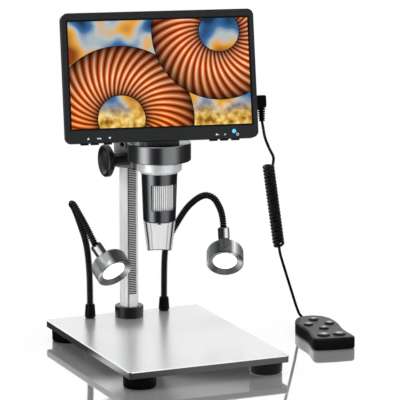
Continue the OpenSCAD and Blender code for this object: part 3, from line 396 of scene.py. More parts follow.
gunmetal = turned_bar("gunmetal_anodised_aluminium", ring=0.3846, metallic=1.0, gloss=(0.2, 0.28),
                      tones=[(0.3, "#7E8082"), (0.7, "#888A8C")])
dress(gunmetal, "holder_ring", "scope_tube")
dark_gunmetal = turned_bar("dark_gunmetal_aluminium", ring=0.3846, metallic=1.0, gloss=(0.2, 0.28),
                           tones=[(0.3, "#64666A"), (0.7, "#6E7072")])
dress(dark_gunmetal, "barrel")
satin = turned_bar("satin_turned_aluminium", ring=0.4167, metallic=0.5, gloss=(0.34, 0.44),
                   tones=[(0.3, "#E6E8E9"), (0.7, "#F0F1F2")])
dress(satin, "clamp_nut")

# ---------- focus wheel ----------
# Aluminium with milled ribs, which the window in the barrel lets a fingertip reach. The crests of
# the ribs are painted bright as a highlight, and the grooves between them are painted darker as shade.
groove_radius = 11.65
crest_radius = 12.2
ribbed, tree, shader = material("milled_rib_aluminium", Metallic=0.4, Roughness=0.4)
place = add(tree, "ShaderNodeTexCoord")
flat = add(tree, "ShaderNodeVectorMath", {0: place.outputs["Object"], 1: (1, 1, 0)}, operation="MULTIPLY")
reach = add(tree, "ShaderNodeVectorMath", {0: flat.outputs[0]}, operation="LENGTH")
raised = add(tree, "ShaderNodeMapRange", {
    "Value": reach.outputs["Value"], "From Min": groove_radius * MM, "From Max": crest_radius * MM})
grain = add(tree, "ShaderNodeTexNoise", {
    "Vector": place.outputs["Object"], "Scale": scale_for(0.6667), "Detail": 2.0})
# painted highlight on the crests and painted shade in the grooves, by distance from the axis
tone = add(tree, "ShaderNodeValToRGB", {"Fac": raised.outputs[0]}, ramp=[
    (0.0, "#B4B7B9"), (0.3, "#D2D4D6"), (0.6, "#FFFFFF")])
dull = add(tree, "ShaderNodeMapRange", {"Value": grain.outputs["Fac"], "To Min": 0.9, "To Max": 1.05})
shade = add(tree, "ShaderNodeVectorMath", {0: tone.outputs[0], "Scale": dull.outputs[0]}, operation="SCALE")
feed(shader, {"Base Color": shade.outputs["Vector"]})
dress(ribbed, "focus_wheel")

# ---------- clear tip ----------
# Injection moulded acrylic, pressed into the barrel. Its colour is painted light and shade: bright
# through its wall, and dark bands where the wall is seen edge on, wobbled by a soft noise.
arch_rise = 2.2
arch_half_width = 10.55
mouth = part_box("clear_tip")[0][2]
acrylic, tree, shader = material("moulded_clear_acrylic", Roughness=0.12, IOR=1.3, Transmission_Weight=0.25)
place = add(tree, "ShaderNodeTexCoord")
edge = add(tree, "ShaderNodeLayerWeight", {"Blend": 0.5})
flow = add(tree, "ShaderNodeTexNoise", {
    "Vector": place.outputs["Object"], "Scale": scale_for(11.11), "Detail": 2.0})
edge_on_wobbled = add(tree, "ShaderNodeMath", {
    0: flow.outputs["Fac"], 1: 0.06, 2: edge.outputs["Facing"]}, operation="MULTIPLY_ADD")
# painted highlight and shade: light through the wall, dark bands where it is seen edge on
wall = add(tree, "ShaderNodeValToRGB", {"Fac": edge_on_wobbled.outputs[0]}, ramp=[
    (0.0, "#F6F6F6"), (0.2, "#F6F6F6"), (0.25, "#B4B6B8"), (0.3, "#F8F8F8"), (0.4, "#E4E5E6"),
    (0.46, "#202224"), (0.54, "#34373A"), (0.62, "#C8CACC"), (0.8, "#F2F2F2"), (1.0, "#C0C2C4")])
# the mouth is cut in a low arch, front and back, and a dark line of painted shade runs along the edge
# above the cut
turned = add(tree, "ShaderNodeMapping", {
    "Vector": place.outputs["Object"], "Rotation": (0, 0, camera_turn)})
spot = add(tree, "ShaderNodeSeparateXYZ", {0: turned.outputs[0]})
wide = add(tree, "ShaderNodeMath", {0: spot.outputs["X"], 1: spot.outputs["X"]}, operation="MULTIPLY")
arch = add(tree, "ShaderNodeMath", {
    0: wide.outputs[0], 1: arch_rise * MM / (arch_half_width * MM) ** 2, 2: spot.outputs["Z"]},
    operation="MULTIPLY_ADD")
above = add(tree, "ShaderNodeMapRange", {
    "Value": arch.outputs[0], "From Min": mouth + 2 * MM, "From Max": mouth + 4 * MM})
rim = add(tree, "ShaderNodeValToRGB", {"Fac": above.outputs[0]}, ramp=[
    (0.0, "#5A5D60"), (0.1, "#2A2C2E"), (0.34, "#3A3D40"), (0.5, "#FFFFFF")])
tone = add(tree, "ShaderNodeMix", {
    0: 1.0, 6: wall.outputs[0], 7: rim.outputs[0]}, data_type="RGBA", blend_type="MULTIPLY")
bump = add(tree, "ShaderNodeBump", {"Height": flow.outputs["Fac"], "Strength": 0.05, "Distance": 0.5 * MM})
feed(shader, {"Base Color": tone.outputs[2], "Normal": bump.outputs[0]})
dress(acrylic, "clear_tip")

# ---------- boards inside the tube, the screen and the remote ----------
# Glass-fibre board under green solder resist, cut to fit each housing. The weave of the glass
# shows through, drawn several times coarser than real cloth.
resist, tree, shader = material("green_solder_resist", Roughness=0.3, Coat_Weight=0.3)
place = add(tree, "ShaderNodeTexCoord")
weave = add(tree, "ShaderNodeTexVoronoi", {"Vector": place.outputs["Object"], "Scale": scale_for(3.846)})
tone = add(tree, "ShaderNodeValToRGB", {"Fac": weave.outputs["Distance"]}, ramp=[
    (0.1, "#2F7A48"), (0.5, "#1D5532")])
feed(shader, {"Base Color": tone.outputs[0]})
dress(resist, "sensor_board", "main_board", "remote_board", "led_ring")

# ---------- black plastic pieces ----------
# Moulded ABS from spark-eroded moulds: neck, rear cover, buttons and small pieces. The fine grain
# gives a soft, broken sheen, and is drawn coarser than real so that it shows.
abs_black = grained("spark_grained_black_abs", width=0.769, tones=[(0.3, "#0E0F10"), (0.75, "#191A1B")],
                    gloss=(0.34, 0.5), relief=(0.12, 0.15), detail=3.0, Specular_IOR_Level=0.5)
dress(abs_black, "neck", "lens_cell", "column_cap", "rear_cover", "remote_jack",
      *["screen_button_%d" % i for i in range(1, 7)])

# ---------- screen ----------
# A charcoal ABS bezel round a lit panel, screwed to the rear cover. Its rounded rim is painted
# brighter as a highlight, and the lip round the picture goes near black.
head_frame = Matrix.Rotation(math.radians(-12.6), 4, "Z")
screen_lean = Matrix.Rotation(math.radians(-14), 4, "X")
screen_frame = head_frame @ Matrix.Translation((0, -4.91, 227.307)) @ screen_lean
picture_half_width = 76.8
picture_half_height = 45.0
darkest_to, deck_from = 0.9, 1.9


def own_places(tree, own):
    """The place of a point, and the same in millimetres in the frame of the piece itself."""
    place = add(tree, "ShaderNodeTexCoord")
    here = add(tree, "ShaderNodeMapping", {
        "Vector": place.outputs["Object"], "Location": own.translation * MM, "Rotation": own.to_euler(),
        "Scale": (MM, MM, MM)}, vector_type="TEXTURE")
    return place, here


# charcoal ABS, spark grained like the cover but a shade lighter
charcoal, tree, shader = material("charcoal_abs", Roughness=0.4, Specular_IOR_Level=0.35)
place, here = own_places(tree, screen_frame)
whole = add(tree, "ShaderNodeVectorMath", {0: here.outputs[0]}, operation="ABSOLUTE")
spot = add(tree, "ShaderNodeSeparateXYZ", {0: whole.outputs[0]})
past_x = add(tree, "ShaderNodeMath", {0: spot.outputs["X"], 1: picture_half_width}, operation="SUBTRACT")
past_z = add(tree, "ShaderNodeMath", {0: spot.outputs["Z"], 1: picture_half_height}, operation="SUBTRACT")
past = add(tree, "ShaderNodeMath", {0: past_x.outputs[0], 1: past_z.outputs[0]}, operation="MAXIMUM")
# the lip round the picture goes near black
lip = add(tree, "ShaderNodeMapRange", {
    "Value": past.outputs[0], "From Min": darkest_to, "From Max": deck_from})
grain = add(tree, "ShaderNodeTexNoise", {
    "Vector": place.outputs["Object"], "Scale": scale_for(0.6667), "Detail": 3.0})
deck = add(tree, "ShaderNodeValToRGB", {"Fac": grain.outputs["Fac"]}, ramp=[
    (0.3, "#1F2123"), (0.75, "#292B2C")])
darkened_lip = add(tree, "ShaderNodeMix", {
    0: lip.outputs[0], 6: linear("#040404"), 7: deck.outputs[0]}, data_type="RGBA")
# painted highlight where the rounded rim turns away from the front
outward = screen_frame.to_3x3() @ Vector((0, -1, 0))
front = add(tree, "ShaderNodeVectorMath", {0: place.outputs["Normal"], 1: outward}, operation="DOT_PRODUCT")
painted_rim_highlight = add(tree, "ShaderNodeValToRGB", {"Fac": front.outputs["Value"]}, ramp=[
    (0.0, "#000000"), (0.25, "#000000"), (0.5, "#3A3C3E"), (0.85, "#4A4C4E"), (0.97, "#000000")])
tone = add(tree, "ShaderNodeMix", {
    0: 1.0, 6: darkened_lip.outputs[2], 7: painted_rim_highlight.outputs[0]}, data_type="RGBA", blend_type="ADD")
bump = add(tree, "ShaderNodeBump", {"Height": grain.outputs["Fac"], "Strength": 0.1, "Distance": 0.15 * MM})
feed(shader, {"Base Color": tone.outputs[2], "Normal": bump.outputs[0]})
dress(charcoal, "front_bezel")

# laminated foil round the battery's cells: soft bright metal with the waves of the wrap
foil = grained("laminated_cell_foil", width=8.333, tones=[(0.3, "#8D979E"), (0.7, "#AAB2B8")],
               detail=3.0, Metallic=0.6, Roughness=0.35)
dress(foil, "battery")

# LCD behind anti-glare glass, showing copper windings under the lens: two wound rings, each wire
# a rounded ridge, over a gilt board and a blurred ground of blue and amber. Places are millimetres
# in the screen's plane, measured from the picture's centre.
blur_width = 28.57
gilt_width = 6.25
picture, tree, shader = material("lit_lcd", Base_Color=linear("#050505"), Roughness=0.22,
                                 Emission_Strength=1.0)
place, here = own_places(tree, screen_frame)
spot = add(tree, "ShaderNodeSeparateXYZ", {0: here.outputs[0]})
blur = add(tree, "ShaderNodeTexNoise", {"Vector": here.outputs[0], "Scale": 1 / blur_width, "Detail": 1.0})
ground = add(tree, "ShaderNodeValToRGB", {"Fac": blur.outputs["Fac"]}, ramp=[
    (0.30, "#16304E"), (0.42, "#3C6FA6"), (0.5, "#B4BFC0"), (0.57, "#E8A848"), (0.72, "#8A4012")])
low = add(tree, "ShaderNodeMapRange", {"Value": spot.outputs["Z"], "From Min": -22.0, "From Max": -38.0})
height = add(tree, "ShaderNodeMapRange", {"Value": spot.outputs["Z"], "From Min": -45.0, "From Max": 25.0})
warm = add(tree, "ShaderNodeValToRGB", {"Fac": height.outputs[0]}, ramp=[
    (0.0, "#FFD27E"), (0.6, "#FFF4EC"), (1.0, "#FFE6DA")])
patches = add(tree, "ShaderNodeTexNoise", {
    "Vector": here.outputs[0], "Scale": 1 / gilt_width, "Detail": 2.0})
gilt = add(tree, "ShaderNodeValToRGB", {"Fac": patches.outputs["Fac"]}, ramp=[
    (0.32, "#8A5A18"), (0.5, "#DCAE4A"), (0.68, "#FFE69A")])
shown = add(tree, "ShaderNodeMix", {
    0: low.outputs[0], 6: ground.outputs[0], 7: gilt.outputs[0]}, data_type="RGBA")
for centre_x, centre_z, inside, outside, wires, lean in (
        (-34, -38, 20, 62, 46, 0.010), (52, 34, 17, 58, 40, -0.012)):
    dx = add(tree, "ShaderNodeMath", {0: spot.outputs["X"], 1: centre_x}, operation="SUBTRACT")
    dz = add(tree, "ShaderNodeMath", {0: spot.outputs["Z"], 1: centre_z}, operation="SUBTRACT")
    xx = add(tree, "ShaderNodeMath", {0: dx.outputs[0], 1: dx.outputs[0]}, operation="MULTIPLY")
    zz = add(tree, "ShaderNodeMath", {
        0: dz.outputs[0], 1: dz.outputs[0], 2: xx.outputs[0]}, operation="MULTIPLY_ADD")
    reach = add(tree, "ShaderNodeMath", {0: zz.outputs[0]}, operation="SQRT")
    angle = add(tree, "ShaderNodeMath", {0: dz.outputs[0], 1: dx.outputs[0]}, operation="ARCTAN2")
    sweep = add(tree, "ShaderNodeMath", {
        0: reach.outputs[0], 1: lean, 2: angle.outputs[0]}, operation="MULTIPLY_ADD")
    count = add(tree, "ShaderNodeMath", {
        0: sweep.outputs[0], 1: wires / (2 * math.pi)}, operation="MULTIPLY")
    part = add(tree, "ShaderNodeMath", {0: count.outputs[0]}, operation="FRACT")
    wire = add(tree, "ShaderNodeValToRGB", {"Fac": part.outputs[0]}, ramp=[
        (0.0, "#4A1204"), (0.12, "#C24A18"), (0.28, "#FF923E"), (0.4, "#FFF2E8"), (0.5, "#FFE2C4"),
        (0.6, "#FF9C48"), (0.82, "#B8480E"), (1.0, "#4A1204")])
    across = add(tree, "ShaderNodeMapRange", {
        "Value": reach.outputs[0], "From Min": inside, "From Max": outside})
    bulge = add(tree, "ShaderNodeValToRGB", {"Fac": across.outputs[0]}, ramp=[
        (0.0, "#303030"), (0.16, "#D4D4D4"), (0.4, "#FFFFFF"), (0.82, "#B4B4B4"), (1.0, "#303030")])
    coil = add(tree, "ShaderNodeMix", {
        0: 1.0, 6: wire.outputs[0], 7: bulge.outputs[0]}, data_type="RGBA", blend_type="MULTIPLY")
    coil = add(tree, "ShaderNodeMix", {
        0: 1.0, 6: coil.outputs[2], 7: warm.outputs[0]}, data_type="RGBA", blend_type="MULTIPLY")
    past_hole = add(tree, "ShaderNodeMath", {0: reach.outputs[0], 1: inside}, operation="GREATER_THAN")
    within = add(tree, "ShaderNodeMath", {0: reach.outputs[0], 1: outside}, operation="LESS_THAN")
    mask = add(tree, "ShaderNodeMath", {
        0: past_hole.outputs[0], 1: within.outputs[0]}, operation="MULTIPLY")
    shown = add(tree, "ShaderNodeMix", {
        0: mask.outputs[0], 6: shown.outputs[2], 7: coil.outputs[2]}, data_type="RGBA")
feed(shader, {"Emission Color": shown.outputs[2]})
dress(picture, "lcd_panel")

# tinted light guide with an LED behind it: a small even cyan glow
light_guide = grained("cyan_light_guide", width=1.25, tones=[(0.3, "#3AA4D8"), (0.7, "#6CC8F0")],
                      shines=True, Base_Color=linear("#4AA8D0"), Roughness=0.3, Emission_Strength=0.7)
dress(light_guide, "status_light")

# white ink, pad printed: flat, even and matt
print_white = grained("pad_printed_white", width=0.5, tones=[(0.3, "#D9DBDB"), (0.7, "#F2F3F3")],
                      Roughness=0.5)
print_line = 0.35  # of a shape's size
print_height = 0.04
bezel_face = -0.8


def stamp(form, size, corners, turn, hollow):
    """One printed shape, flat and centred: a filled outline, or a line round an open middle."""
    ring = bmesh.ops.create_circle(form, cap_ends=True, radius=size, segments=corners)["verts"]
    if hollow:
        face = ring[0].link_faces[0]
        inner = bmesh.ops.inset_individual(form, faces=[face], thickness=size * print_line)
        ring = list({corner for f in inner["faces"] for corner in f.verts} | set(face.verts))
        bmesh.ops.delete(form, geom=[face], context="FACES_ONLY")
    bmesh.ops.rotate(form, verts=ring, cent=(0, 0, 0), matrix=Matrix.Rotation(math.radians(turn), 3, "Z"))
    return ring


# marks on the bezel: a triangle up, two dots, a triangle down, a play sign, a square and a ring
marks = bmesh.new()
for u, v, size, corners, turn, hollow in ((-63.3, -53.6, 1.2, 3, 0, 0), (-55.2, -53.5, 0.7, 12, 0, 0),
                                          (-53.2, -53.5, 0.7, 12, 0, 0), (-45.1, -53.2, 1.2, 3, 180, 0),
                                          (46.0, -53.4, 1.0, 4, 45, 0), (47.6, -53.6, 0.6, 3, -90, 0),
                                          (53.1, -53.6, 1.0, 4, 0, 1), (63.9, -53.8, 1.2, 8, 0, 1)):
    ring = stamp(marks, size, corners, turn, hollow)
    bmesh.ops.rotate(marks, verts=ring, cent=(0, 0, 0), matrix=Matrix.Rotation(math.radians(90), 3, "X"))
    bmesh.ops.translate(marks, verts=ring, vec=(u, bezel_face - print_height, v))
bmesh.ops.transform(marks, matrix=Matrix.Scale(MM, 4) @ screen_frame, verts=marks.verts)
bezel_marks = shaped("bezel_marks", marks)
bezel_marks.data.materials.append(print_white)
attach(bezel_marks, "screen")

# ---------- remote: two shells and six buttons ----------
# Moulded ABS, spark-eroded on the deck and polished to a gloss on the sides, so that it feels smooth
# in the hand. Its colour grows from black on the sides to charcoal grey on the deck as the faces turn
# up: partly the deck's own tone, partly painted light from above. The deck's grain is drawn coarser
# than real so that it shows.
remote_frame = Matrix.Translation((148.9, -10.8, 0)) @ Matrix.Rotation(math.radians(-9), 4, "Z")
remote_abs, tree, shader = material("charcoal_deck_gloss_side_abs", Specular_IOR_Level=0.5)
place = add(tree, "ShaderNodeTexCoord")
facing = add(tree, "ShaderNodeNewGeometry")
up = add(tree, "ShaderNodeSeparateXYZ", {0: facing.outputs["Normal"]})
grain = add(tree, "ShaderNodeTexNoise", {
    "Vector": place.outputs["Object"], "Scale": scale_for(1.111), "Detail": 3.0})
spread = add(tree, "ShaderNodeMapRange", {
    "Value": grain.outputs["Fac"], "From Min": 0.3, "From Max": 0.7, "To Min": -0.22, "To Max": 0.04})
level = add(tree, "ShaderNodeMath", {0: up.outputs["Z"], 1: spread.outputs[0]}, operation="ADD")
# lighter the more a face turns up: partly the deck's own tone, partly painted light from above
tone = add(tree, "ShaderNodeValToRGB", {"Fac": level.outputs[0]}, ramp=[
    (0.0, "#080909"), (0.45, "#0B0C0C"), (0.75, "#232425"), (0.96, "#2E3031"), (1.0, "#343637")])
rough = add(tree, "ShaderNodeMapRange", {
    "Value": up.outputs["Z"], "From Min": 0.2, "From Max": 0.9, "To Min": 0.2, "To Max": 0.45})
bump = add(tree, "ShaderNodeBump", {
    "Height": grain.outputs["Fac"], "Strength": 0.12, "Distance": 0.15 * MM})
feed(shader, {"Base Color": tone.outputs[0], "Roughness": rough.outputs[0], "Normal": bump.outputs[0]})
dress(remote_abs, "remote_top", "remote_base")

# the buttons are gloss black ABS from a polished mould, with white signs printed on them:
# triangles up and down, rings for smaller and larger, a shutter and a camera
sign_height = 0.05
remote_signs = {"up": (0, 26, [(0, 0, 2.0, 3, 0, 1, 0)]),
                "left": (-9.6, 9.5, [(0, 0, 1.9, 24, 0, 1, 1), (0, 0, 0.5, 8, 0, 1, 0)]),
                "right": (9.6, 9.5, [(0, 0, 1.9, 24, 0, 1, 1), (0, 0, 1.1, 4, 0, 1, 0)]),
                "down": (0, -6, [(0, 0, 2.0, 3, 180, 1, 0)]),
                "photo": (-7, -29, [(0, 0, 2.3, 24, 0, 1, 1), (0, 0, 0.9, 16, 0, 1, 0)]),
                "video": (7, -29, [(-0.7, 0, 2.4, 4, 45, 0.8, 0), (2.0, 0, 1.5, 3, 90, 1, 0)])}
button_abs = grained("gloss_black_button_abs", width=1.429, tones=[(0.3, "#08090A"), (0.75, "#141516")],
                     relief=(0.08, 0.3), Roughness=0.25, Specular_IOR_Level=0.5)
dress(button_abs, *["remote_button_" + sign for sign in remote_signs])
for sign, (u, v, shapes) in remote_signs.items():
    button = "remote_button_" + sign
    sign_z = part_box(button)[1][2] / MM + sign_height
    signs = bmesh.new()
    for x, y, size, corners, turn, squat, hollow in shapes:
        ring = stamp(signs, size, corners, turn, hollow)
        bmesh.ops.scale(signs, verts=ring, vec=(1, squat, 1))
        bmesh.ops.translate(signs, verts=ring, vec=(u + x, v + y, sign_z))
    bmesh.ops.transform(signs, matrix=Matrix.Scale(MM, 4) @ remote_frame, verts=signs.verts)
    printed = shaped("remote_sign_" + sign, signs)
    printed.data.materials.append(print_white)
    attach(printed, button)

# ---------- cord: straight, curly and straight again, with a moulded plug ----------
# A thin black PVC lead from the screen's side to the remote. Its middle is wound into a spring
# of two dozen turns, and the moulded right-angle plug ends in a ribbed strain relief.
cord_wire = 2.4
coil_outside = 10.5
coil_turns = 24
points_per_turn = 18
run_in = 0.6


def smooth(points, steps):
    """Points along a smooth curve through the given ones."""
    p = [Vector(q) for q in points]
    run = []
    for i in range(len(p) - 1):
        a, b, c, d = p[max(i - 1, 0)], p[i], p[i + 1], p[min(i + 2, len(p) - 1)]
        for k in range(steps):
            t = k / steps
            run.append(0.5 * (2 * b + (c - a) * t + (2 * a - 5 * b + 4 * c - d) * t * t
                              + (3 * b - a - 3 * c + d) * t ** 3))
    return run + [p[-1]]


def hose(name, points, diameter, swell=None, sides=4):
    """A round mesh tube in metres along points given in millimetres; swell scales it at each point."""
    line = bpy.data.curves.new(name, "CURVE")
    line.dimensions = "3D"
    line.bevel_depth = diameter / 2 * MM
    line.bevel_resolution = sides
    line.use_fill_caps = True
    spline = line.splines.new("POLY")
    spline.points.add(len(points) - 1)
    for i, p in enumerate(points):
        spline.points[i].co = (*(Vector(p) * MM), 1)
        spline.points[i].radius = swell[i] if swell else 1
    curve = placed(name + "_line", line)
    mesh = bpy.data.meshes.new_from_object(curve.evaluated_get(bpy.context.evaluated_depsgraph_get()))
    bpy.data.objects.remove(curve)
    mesh.polygons.foreach_set("use_smooth", [True] * len(mesh.polygons))
    if swell:
        # how far each ring of points stands out, for the painted highlight on the crests
        around = len(mesh.vertices) // len(points)
        crest = mesh.attributes.new("crest", "FLOAT", "POINT")
        last = len(swell) - 1
        crest.data.foreach_set("value", [swell[min(i // around, last)] for i in range(len(mesh.vertices))])
    return placed(name, mesh)


coil_top = Vector((93.5, -17.5, 143.5))
coil_low = Vector((111, -2.5, 67.5))
coil_axis = (coil_top - coil_low).normalized()
coil_over = Vector((0.9, -0.4, 0))
coil_over = (coil_over - coil_axis * coil_over.dot(coil_axis)).normalized()
coil_side = coil_axis.cross(coil_over)
coil_radius = (coil_outside - cord_wire) / 2


def coil_run(start, stop):
    """Points of the curly length between two shares of its height, from the bottom up."""
    count = int(coil_turns * points_per_turn * (stop - start))
    run = []
    for i in range(count + 1):
        share = start + (stop - start) * i / count
        turn = 2 * math.pi * coil_turns * (share - 1)
        radius = coil_radius * min(1, share * coil_turns / run_in)
        at = coil_low + (coil_top - coil_low) * share
        run.append(at + coil_over * math.cos(turn) * radius + coil_side * math.sin(turn) * radius)
    return run


upper_points = smooth([screen_frame @ Vector((87.2, 8.2, -43)), (86, -23.5, 176.5), (88.5, -21.5, 168.5),
                       (95, -15.5, 158), (98.5, -17, 150), coil_top + coil_over * coil_radius], 6)
stub_end = remote_frame @ Vector((0, 45.1, table_top + 4.2))
lower_points = smooth([coil_low, (113, -1, 60), (119.5, 4.5, 46), (129.5, 13, 25.5), (138, 21.5, 9.5),
                       (145, 31, 0), (151, 38, -7), stub_end], 5)
coil_high_points = coil_run(0.5, 1)
coil_low_points = coil_run(0, 0.5)

# PVC, extruded: a soft sheen along the jacket, with a slight unevenness from the die
pvc = grained("black_pvc_jacket", width=1.111, gloss=(0.28, 0.42), relief=(0.05, 0.2),
              Base_Color=linear("#020203"), Specular_IOR_Level=0.3)
cord_upper = hose("cord_upper_run", upper_points, cord_wire)
cord_coil_top = hose("cord_coil_high", coil_high_points, cord_wire)
cord_coil = hose("cord_coil_deep", coil_low_points, cord_wire)
cord_lower = hose("cord_lower_run", lower_points, cord_wire)
for piece, node in ((cord_upper, "cord_upper"), (cord_coil_top, "cord_coil_top"),
                    (cord_coil, "cord_coil"), (cord_lower, "cord_lower")):
    piece.data.materials.append(pvc)
    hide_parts(node)
dress(pvc, "plug", "cord_upper", "cord_coil_top", "cord_coil", "cord_lower")
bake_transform(cord_upper)
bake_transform(cord_coil_top)
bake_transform(cord_coil)
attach(cord_lower, "stand")

# ---------- goosenecks: wound metal hose in a black skin ----------
# Each neck is a spring of square wire wound over a second one, so it is ringed with fine ribs and
# keeps any bend it is given. It stands in a boot on the base and ends in the lamp's sleeve. The
# ribs are drawn a little coarser and the hose a little thicker than real, so that they show.
goose_d = 6.2
rib_pitch = 2.1
rib_profile = (0.9, 1.0, 0.9, 0.66)
neck_root_y = 77

# the black skin is painted grey on the crests of the ribs as a highlight, broken up by noise
goose_wound, tree, shader = material("black_wound_hose", Roughness=0.35, Specular_IOR_Level=0.1)
place = add(tree, "ShaderNodeTexCoord")
crest = add(tree, "ShaderNodeAttribute", attribute_name="crest")
grain = add(tree, "ShaderNodeTexNoise", {
    "Vector": place.outputs["Object"], "Scale": scale_for(1.429), "Detail": 3.0})
highlight_breakup = add(tree, "ShaderNodeMapRange", {"Value": grain.outputs["Fac"], "To Min": 0.6, "To Max": 1.4})
tone = add(tree, "ShaderNodeValToRGB", {"Fac": crest.outputs["Fac"]}, ramp=[
    (0.93, "#000000"), (0.97, "#1C1D1D"), (1.0, "#6A6C6D")])
shade = add(tree, "ShaderNodeVectorMath", {0: tone.outputs[0], "Scale": highlight_breakup.outputs[0]}, operation="SCALE")
feed(shader, {"Base Color": shade.outputs["Vector"]})


def lamp_frame(centre, turn, dip, roll):
    """The frame of a lamp head, with its face towards -Y."""
    return (Matrix.Translation(Vector(centre)) @ Matrix.Rotation(math.radians(turn), 4, "Z")
            @ Matrix.Rotation(math.radians(dip), 4, "X") @ Matrix.Rotation(math.radians(roll), 4, "Y"))


lamp_dip = 36
left_roll, right_roll = -42.7, -3.5
left_lamp = lamp_frame((-24.8, 40.7, 46.9), 12.5, lamp_dip, left_roll)
right_lamp = lamp_frame((70.7, 21.7, 51.1), -23.2, lamp_dip, right_roll)
sleeve_lean = Vector((0, math.sin(math.radians(50)), math.cos(math.radians(50))))
sleeve_top = Vector((0, 12.7, 17.7)) + sleeve_lean * 10.1
for side, at, route, x in (
        ("left", left_lamp, [(-34.6, 77, 43), (-37.8, 76, 67.5), (-45.3, 74, 89.5), (-50.4, 71.5, 101),
                             (-53.6, 68.5, 105), (-53, 64.5, 104.5), (-49.9, 58.5, 96.5),
                             (-46.7, 52, 87.5)], -34),
        ("right", right_lamp, [(37, 77, 52), (40.5, 74, 67), (46, 70.5, 79.5), (52.5, 64, 93.5),
                               (59.5, 56, 103.2), (64.7, 49, 106.8), (69.3, 43, 104.7), (71, 37, 99.7),
                               (71.3, 32, 95.2), (70.9, 27.7, 89.5)], 36)):
    coarse = smooth([(x, neck_root_y, -5), (x, neck_root_y, 13.5)] + route + [at @ sleeve_top], 40)
    # even steps along the neck, as many to a rib as its profile has
    step = rib_pitch / len(rib_profile)
    run, walked, wanted = [coarse[0]], 0.0, step
    for a, b in zip(coarse, coarse[1:]):
        stride = (b - a).length
        while walked + stride >= wanted:
            run.append(a + (b - a) * ((wanted - walked) / stride))
            wanted += step
        walked += stride
    swell = [rib_profile[i % len(rib_profile)] for i in range(len(run))]
    neck_hose = hose(side + "_wound_neck", run, goose_d, swell, 5)
    neck_hose.data.materials.append(goose_wound)
    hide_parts(side + "_gooseneck")
    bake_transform(neck_hose)
dress(goose_wound, "left_gooseneck", "right_gooseneck")

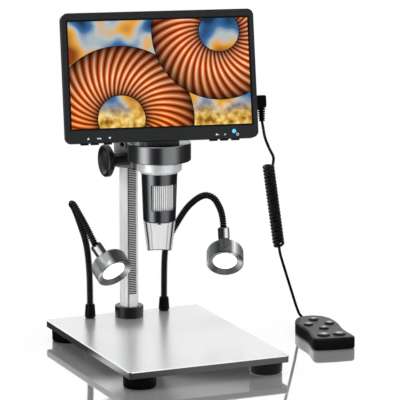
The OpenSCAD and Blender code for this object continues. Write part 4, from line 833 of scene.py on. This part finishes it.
# ---------- lamps ----------
# Each head is turned aluminium with a face brushed outwards from the lens. A steel sleeve on its
# boss takes the neck's end, and the lens is a frosted white diffuser lit from behind.
head_radius = 16.25
brush_strokes = 88
# each lamp has its own painted light: its boss's tone, the side its sleeve's highlight streak is painted
# on, and the upper lobes painted on its face
for side, at, roll, painted_boss_tone, lit_from, painted_upper_lobes in (
        ("left", left_lamp, left_roll, "#B4B6B8", (-0.53, -0.80, 0.28), [
            (0.56, "#A0A2A4"), (0.64, "#3A3C3E"), (0.8, "#4A4C4E"), (0.85, "#F4F4F4"), (0.9, "#8A8C8E"),
            (0.95, "#6A6C6E")]),
        ("right", right_lamp, right_roll, "#505254", (0.08, -0.95, 0.29), [
            (0.55, "#7A7C7E"), (0.6, "#3A3C3E"), (0.64, "#A8AAAC"), (0.665, "#FFFFFF"), (0.7, "#6A6C6E"),
            (0.8, "#3E4042"), (0.9, "#66686A")])):
    # brushed aluminium: painted highlights and painted shade fan out in lobes round the lens, set for
    # each lamp, and fine strokes break them
    brushed, tree, shader = material(side + "_brushed_aluminium_painted_lobes", Roughness=0.33)
    place, here = own_places(tree, at)
    spot = add(tree, "ShaderNodeSeparateXYZ", {0: here.outputs[0]})
    angle = add(tree, "ShaderNodeMath", {0: spot.outputs["Z"], 1: spot.outputs["X"]}, operation="ARCTAN2")
    turn = add(tree, "ShaderNodeMath", {
        0: angle.outputs[0], 1: 0.5 / math.pi, 2: 0.5 - math.radians(roll) / 2 / math.pi},
        operation="MULTIPLY_ADD")
    turn = add(tree, "ShaderNodeMath", {0: turn.outputs[0]}, operation="FRACT")
    lobes = add(tree, "ShaderNodeValToRGB", {"Fac": turn.outputs[0]}, ramp=[
        (0.0, "#F4F4F4"), (0.06, "#A8AAAC"), (0.13, "#66686A"), (0.25, "#7E8082"), (0.38, "#606264"),
        (0.44, "#B8BABC"), (0.5, "#FFFFFF")] + painted_upper_lobes + [(1.0, "#F4F4F4")])
    spokes = add(tree, "ShaderNodeTexNoise", {
        "W": angle.outputs[0], "Scale": brush_strokes / (2 * math.pi), "Detail": 4.0},
        noise_dimensions="1D")
    strokes = add(tree, "ShaderNodeMapRange", {
        "Value": spokes.outputs["Fac"], "From Min": 0.3, "From Max": 0.7, "To Min": 0.8, "To Max": 1.15})
    fan = add(tree, "ShaderNodeVectorMath", {
        0: lobes.outputs[0], "Scale": strokes.outputs[0]}, operation="SCALE")
    # the boss that carries the sleeve stands out past the head's side, left plain from the lathe, with
    # one flat tone for each lamp, painted lighter or darker for its light
    flat = add(tree, "ShaderNodeVectorMath", {0: here.outputs[0], 1: (1, 0, 1)}, operation="MULTIPLY")
    reach = add(tree, "ShaderNodeVectorMath", {0: flat.outputs[0]}, operation="LENGTH")
    boss = add(tree, "ShaderNodeMath", {
        0: reach.outputs["Value"], 1: head_radius}, operation="GREATER_THAN")
    tone = add(tree, "ShaderNodeMix", {
        0: boss.outputs[0], 6: fan.outputs["Vector"], 7: linear(painted_boss_tone)}, data_type="RGBA")
    metal = add(tree, "ShaderNodeMath", {0: boss.outputs[0], 1: -0.6, 2: 0.7}, operation="MULTIPLY_ADD")
    feed(shader, {"Base Color": tone.outputs[2], "Metallic": metal.outputs[0]})
    dress(brushed, side + "_lamp_head")

    # turned steel: dark, with one long painted highlight streak down the side that faces the given light
    # direction
    steel, tree, shader = material(side + "_turned_sleeve_steel", Metallic=0.3)
    place = add(tree, "ShaderNodeTexCoord")
    grain = add(tree, "ShaderNodeTexNoise", {
        "Vector": place.outputs["Object"], "Scale": scale_for(1.25), "Detail": 3.0})
    along = (at.to_3x3() @ sleeve_lean).normalized()
    across = (Vector(lit_from) - along * Vector(lit_from).dot(along)).normalized()
    meets = add(tree, "ShaderNodeVectorMath", {
        0: place.outputs["Normal"], 1: across}, operation="DOT_PRODUCT")
    painted_streak = add(tree, "ShaderNodeMath", {
        0: grain.outputs["Fac"], 1: 0.03, 2: meets.outputs["Value"]}, operation="MULTIPLY_ADD")
    tone = add(tree, "ShaderNodeValToRGB", {"Fac": painted_streak.outputs[0]}, ramp=[
        (0.0, "#0C0C0C"), (0.6, "#1A1B1C"), (0.86, "#3A3C3E"), (0.95, "#8A8D90"), (0.99, "#FFFFFF")])
    rough = add(tree, "ShaderNodeMapRange", {"Value": grain.outputs["Fac"], "To Min": 0.3, "To Max": 0.4})
    feed(shader, {"Base Color": tone.outputs[0], "Roughness": rough.outputs[0]})
    dress(steel, side + "_lamp_sleeve")

# frosted acrylic with LEDs behind it: an even white glow
frosted = grained("lit_frosted_diffuser", width=3.846, tones=[(0.3, "#EEF4FF"), (0.7, "#FFFFFF")],
                  shines=True, Base_Color=linear("#F4F8FF"), Roughness=0.4, Emission_Strength=1.1)
dress(frosted, "left_lamp_lens", "right_lamp_lens")
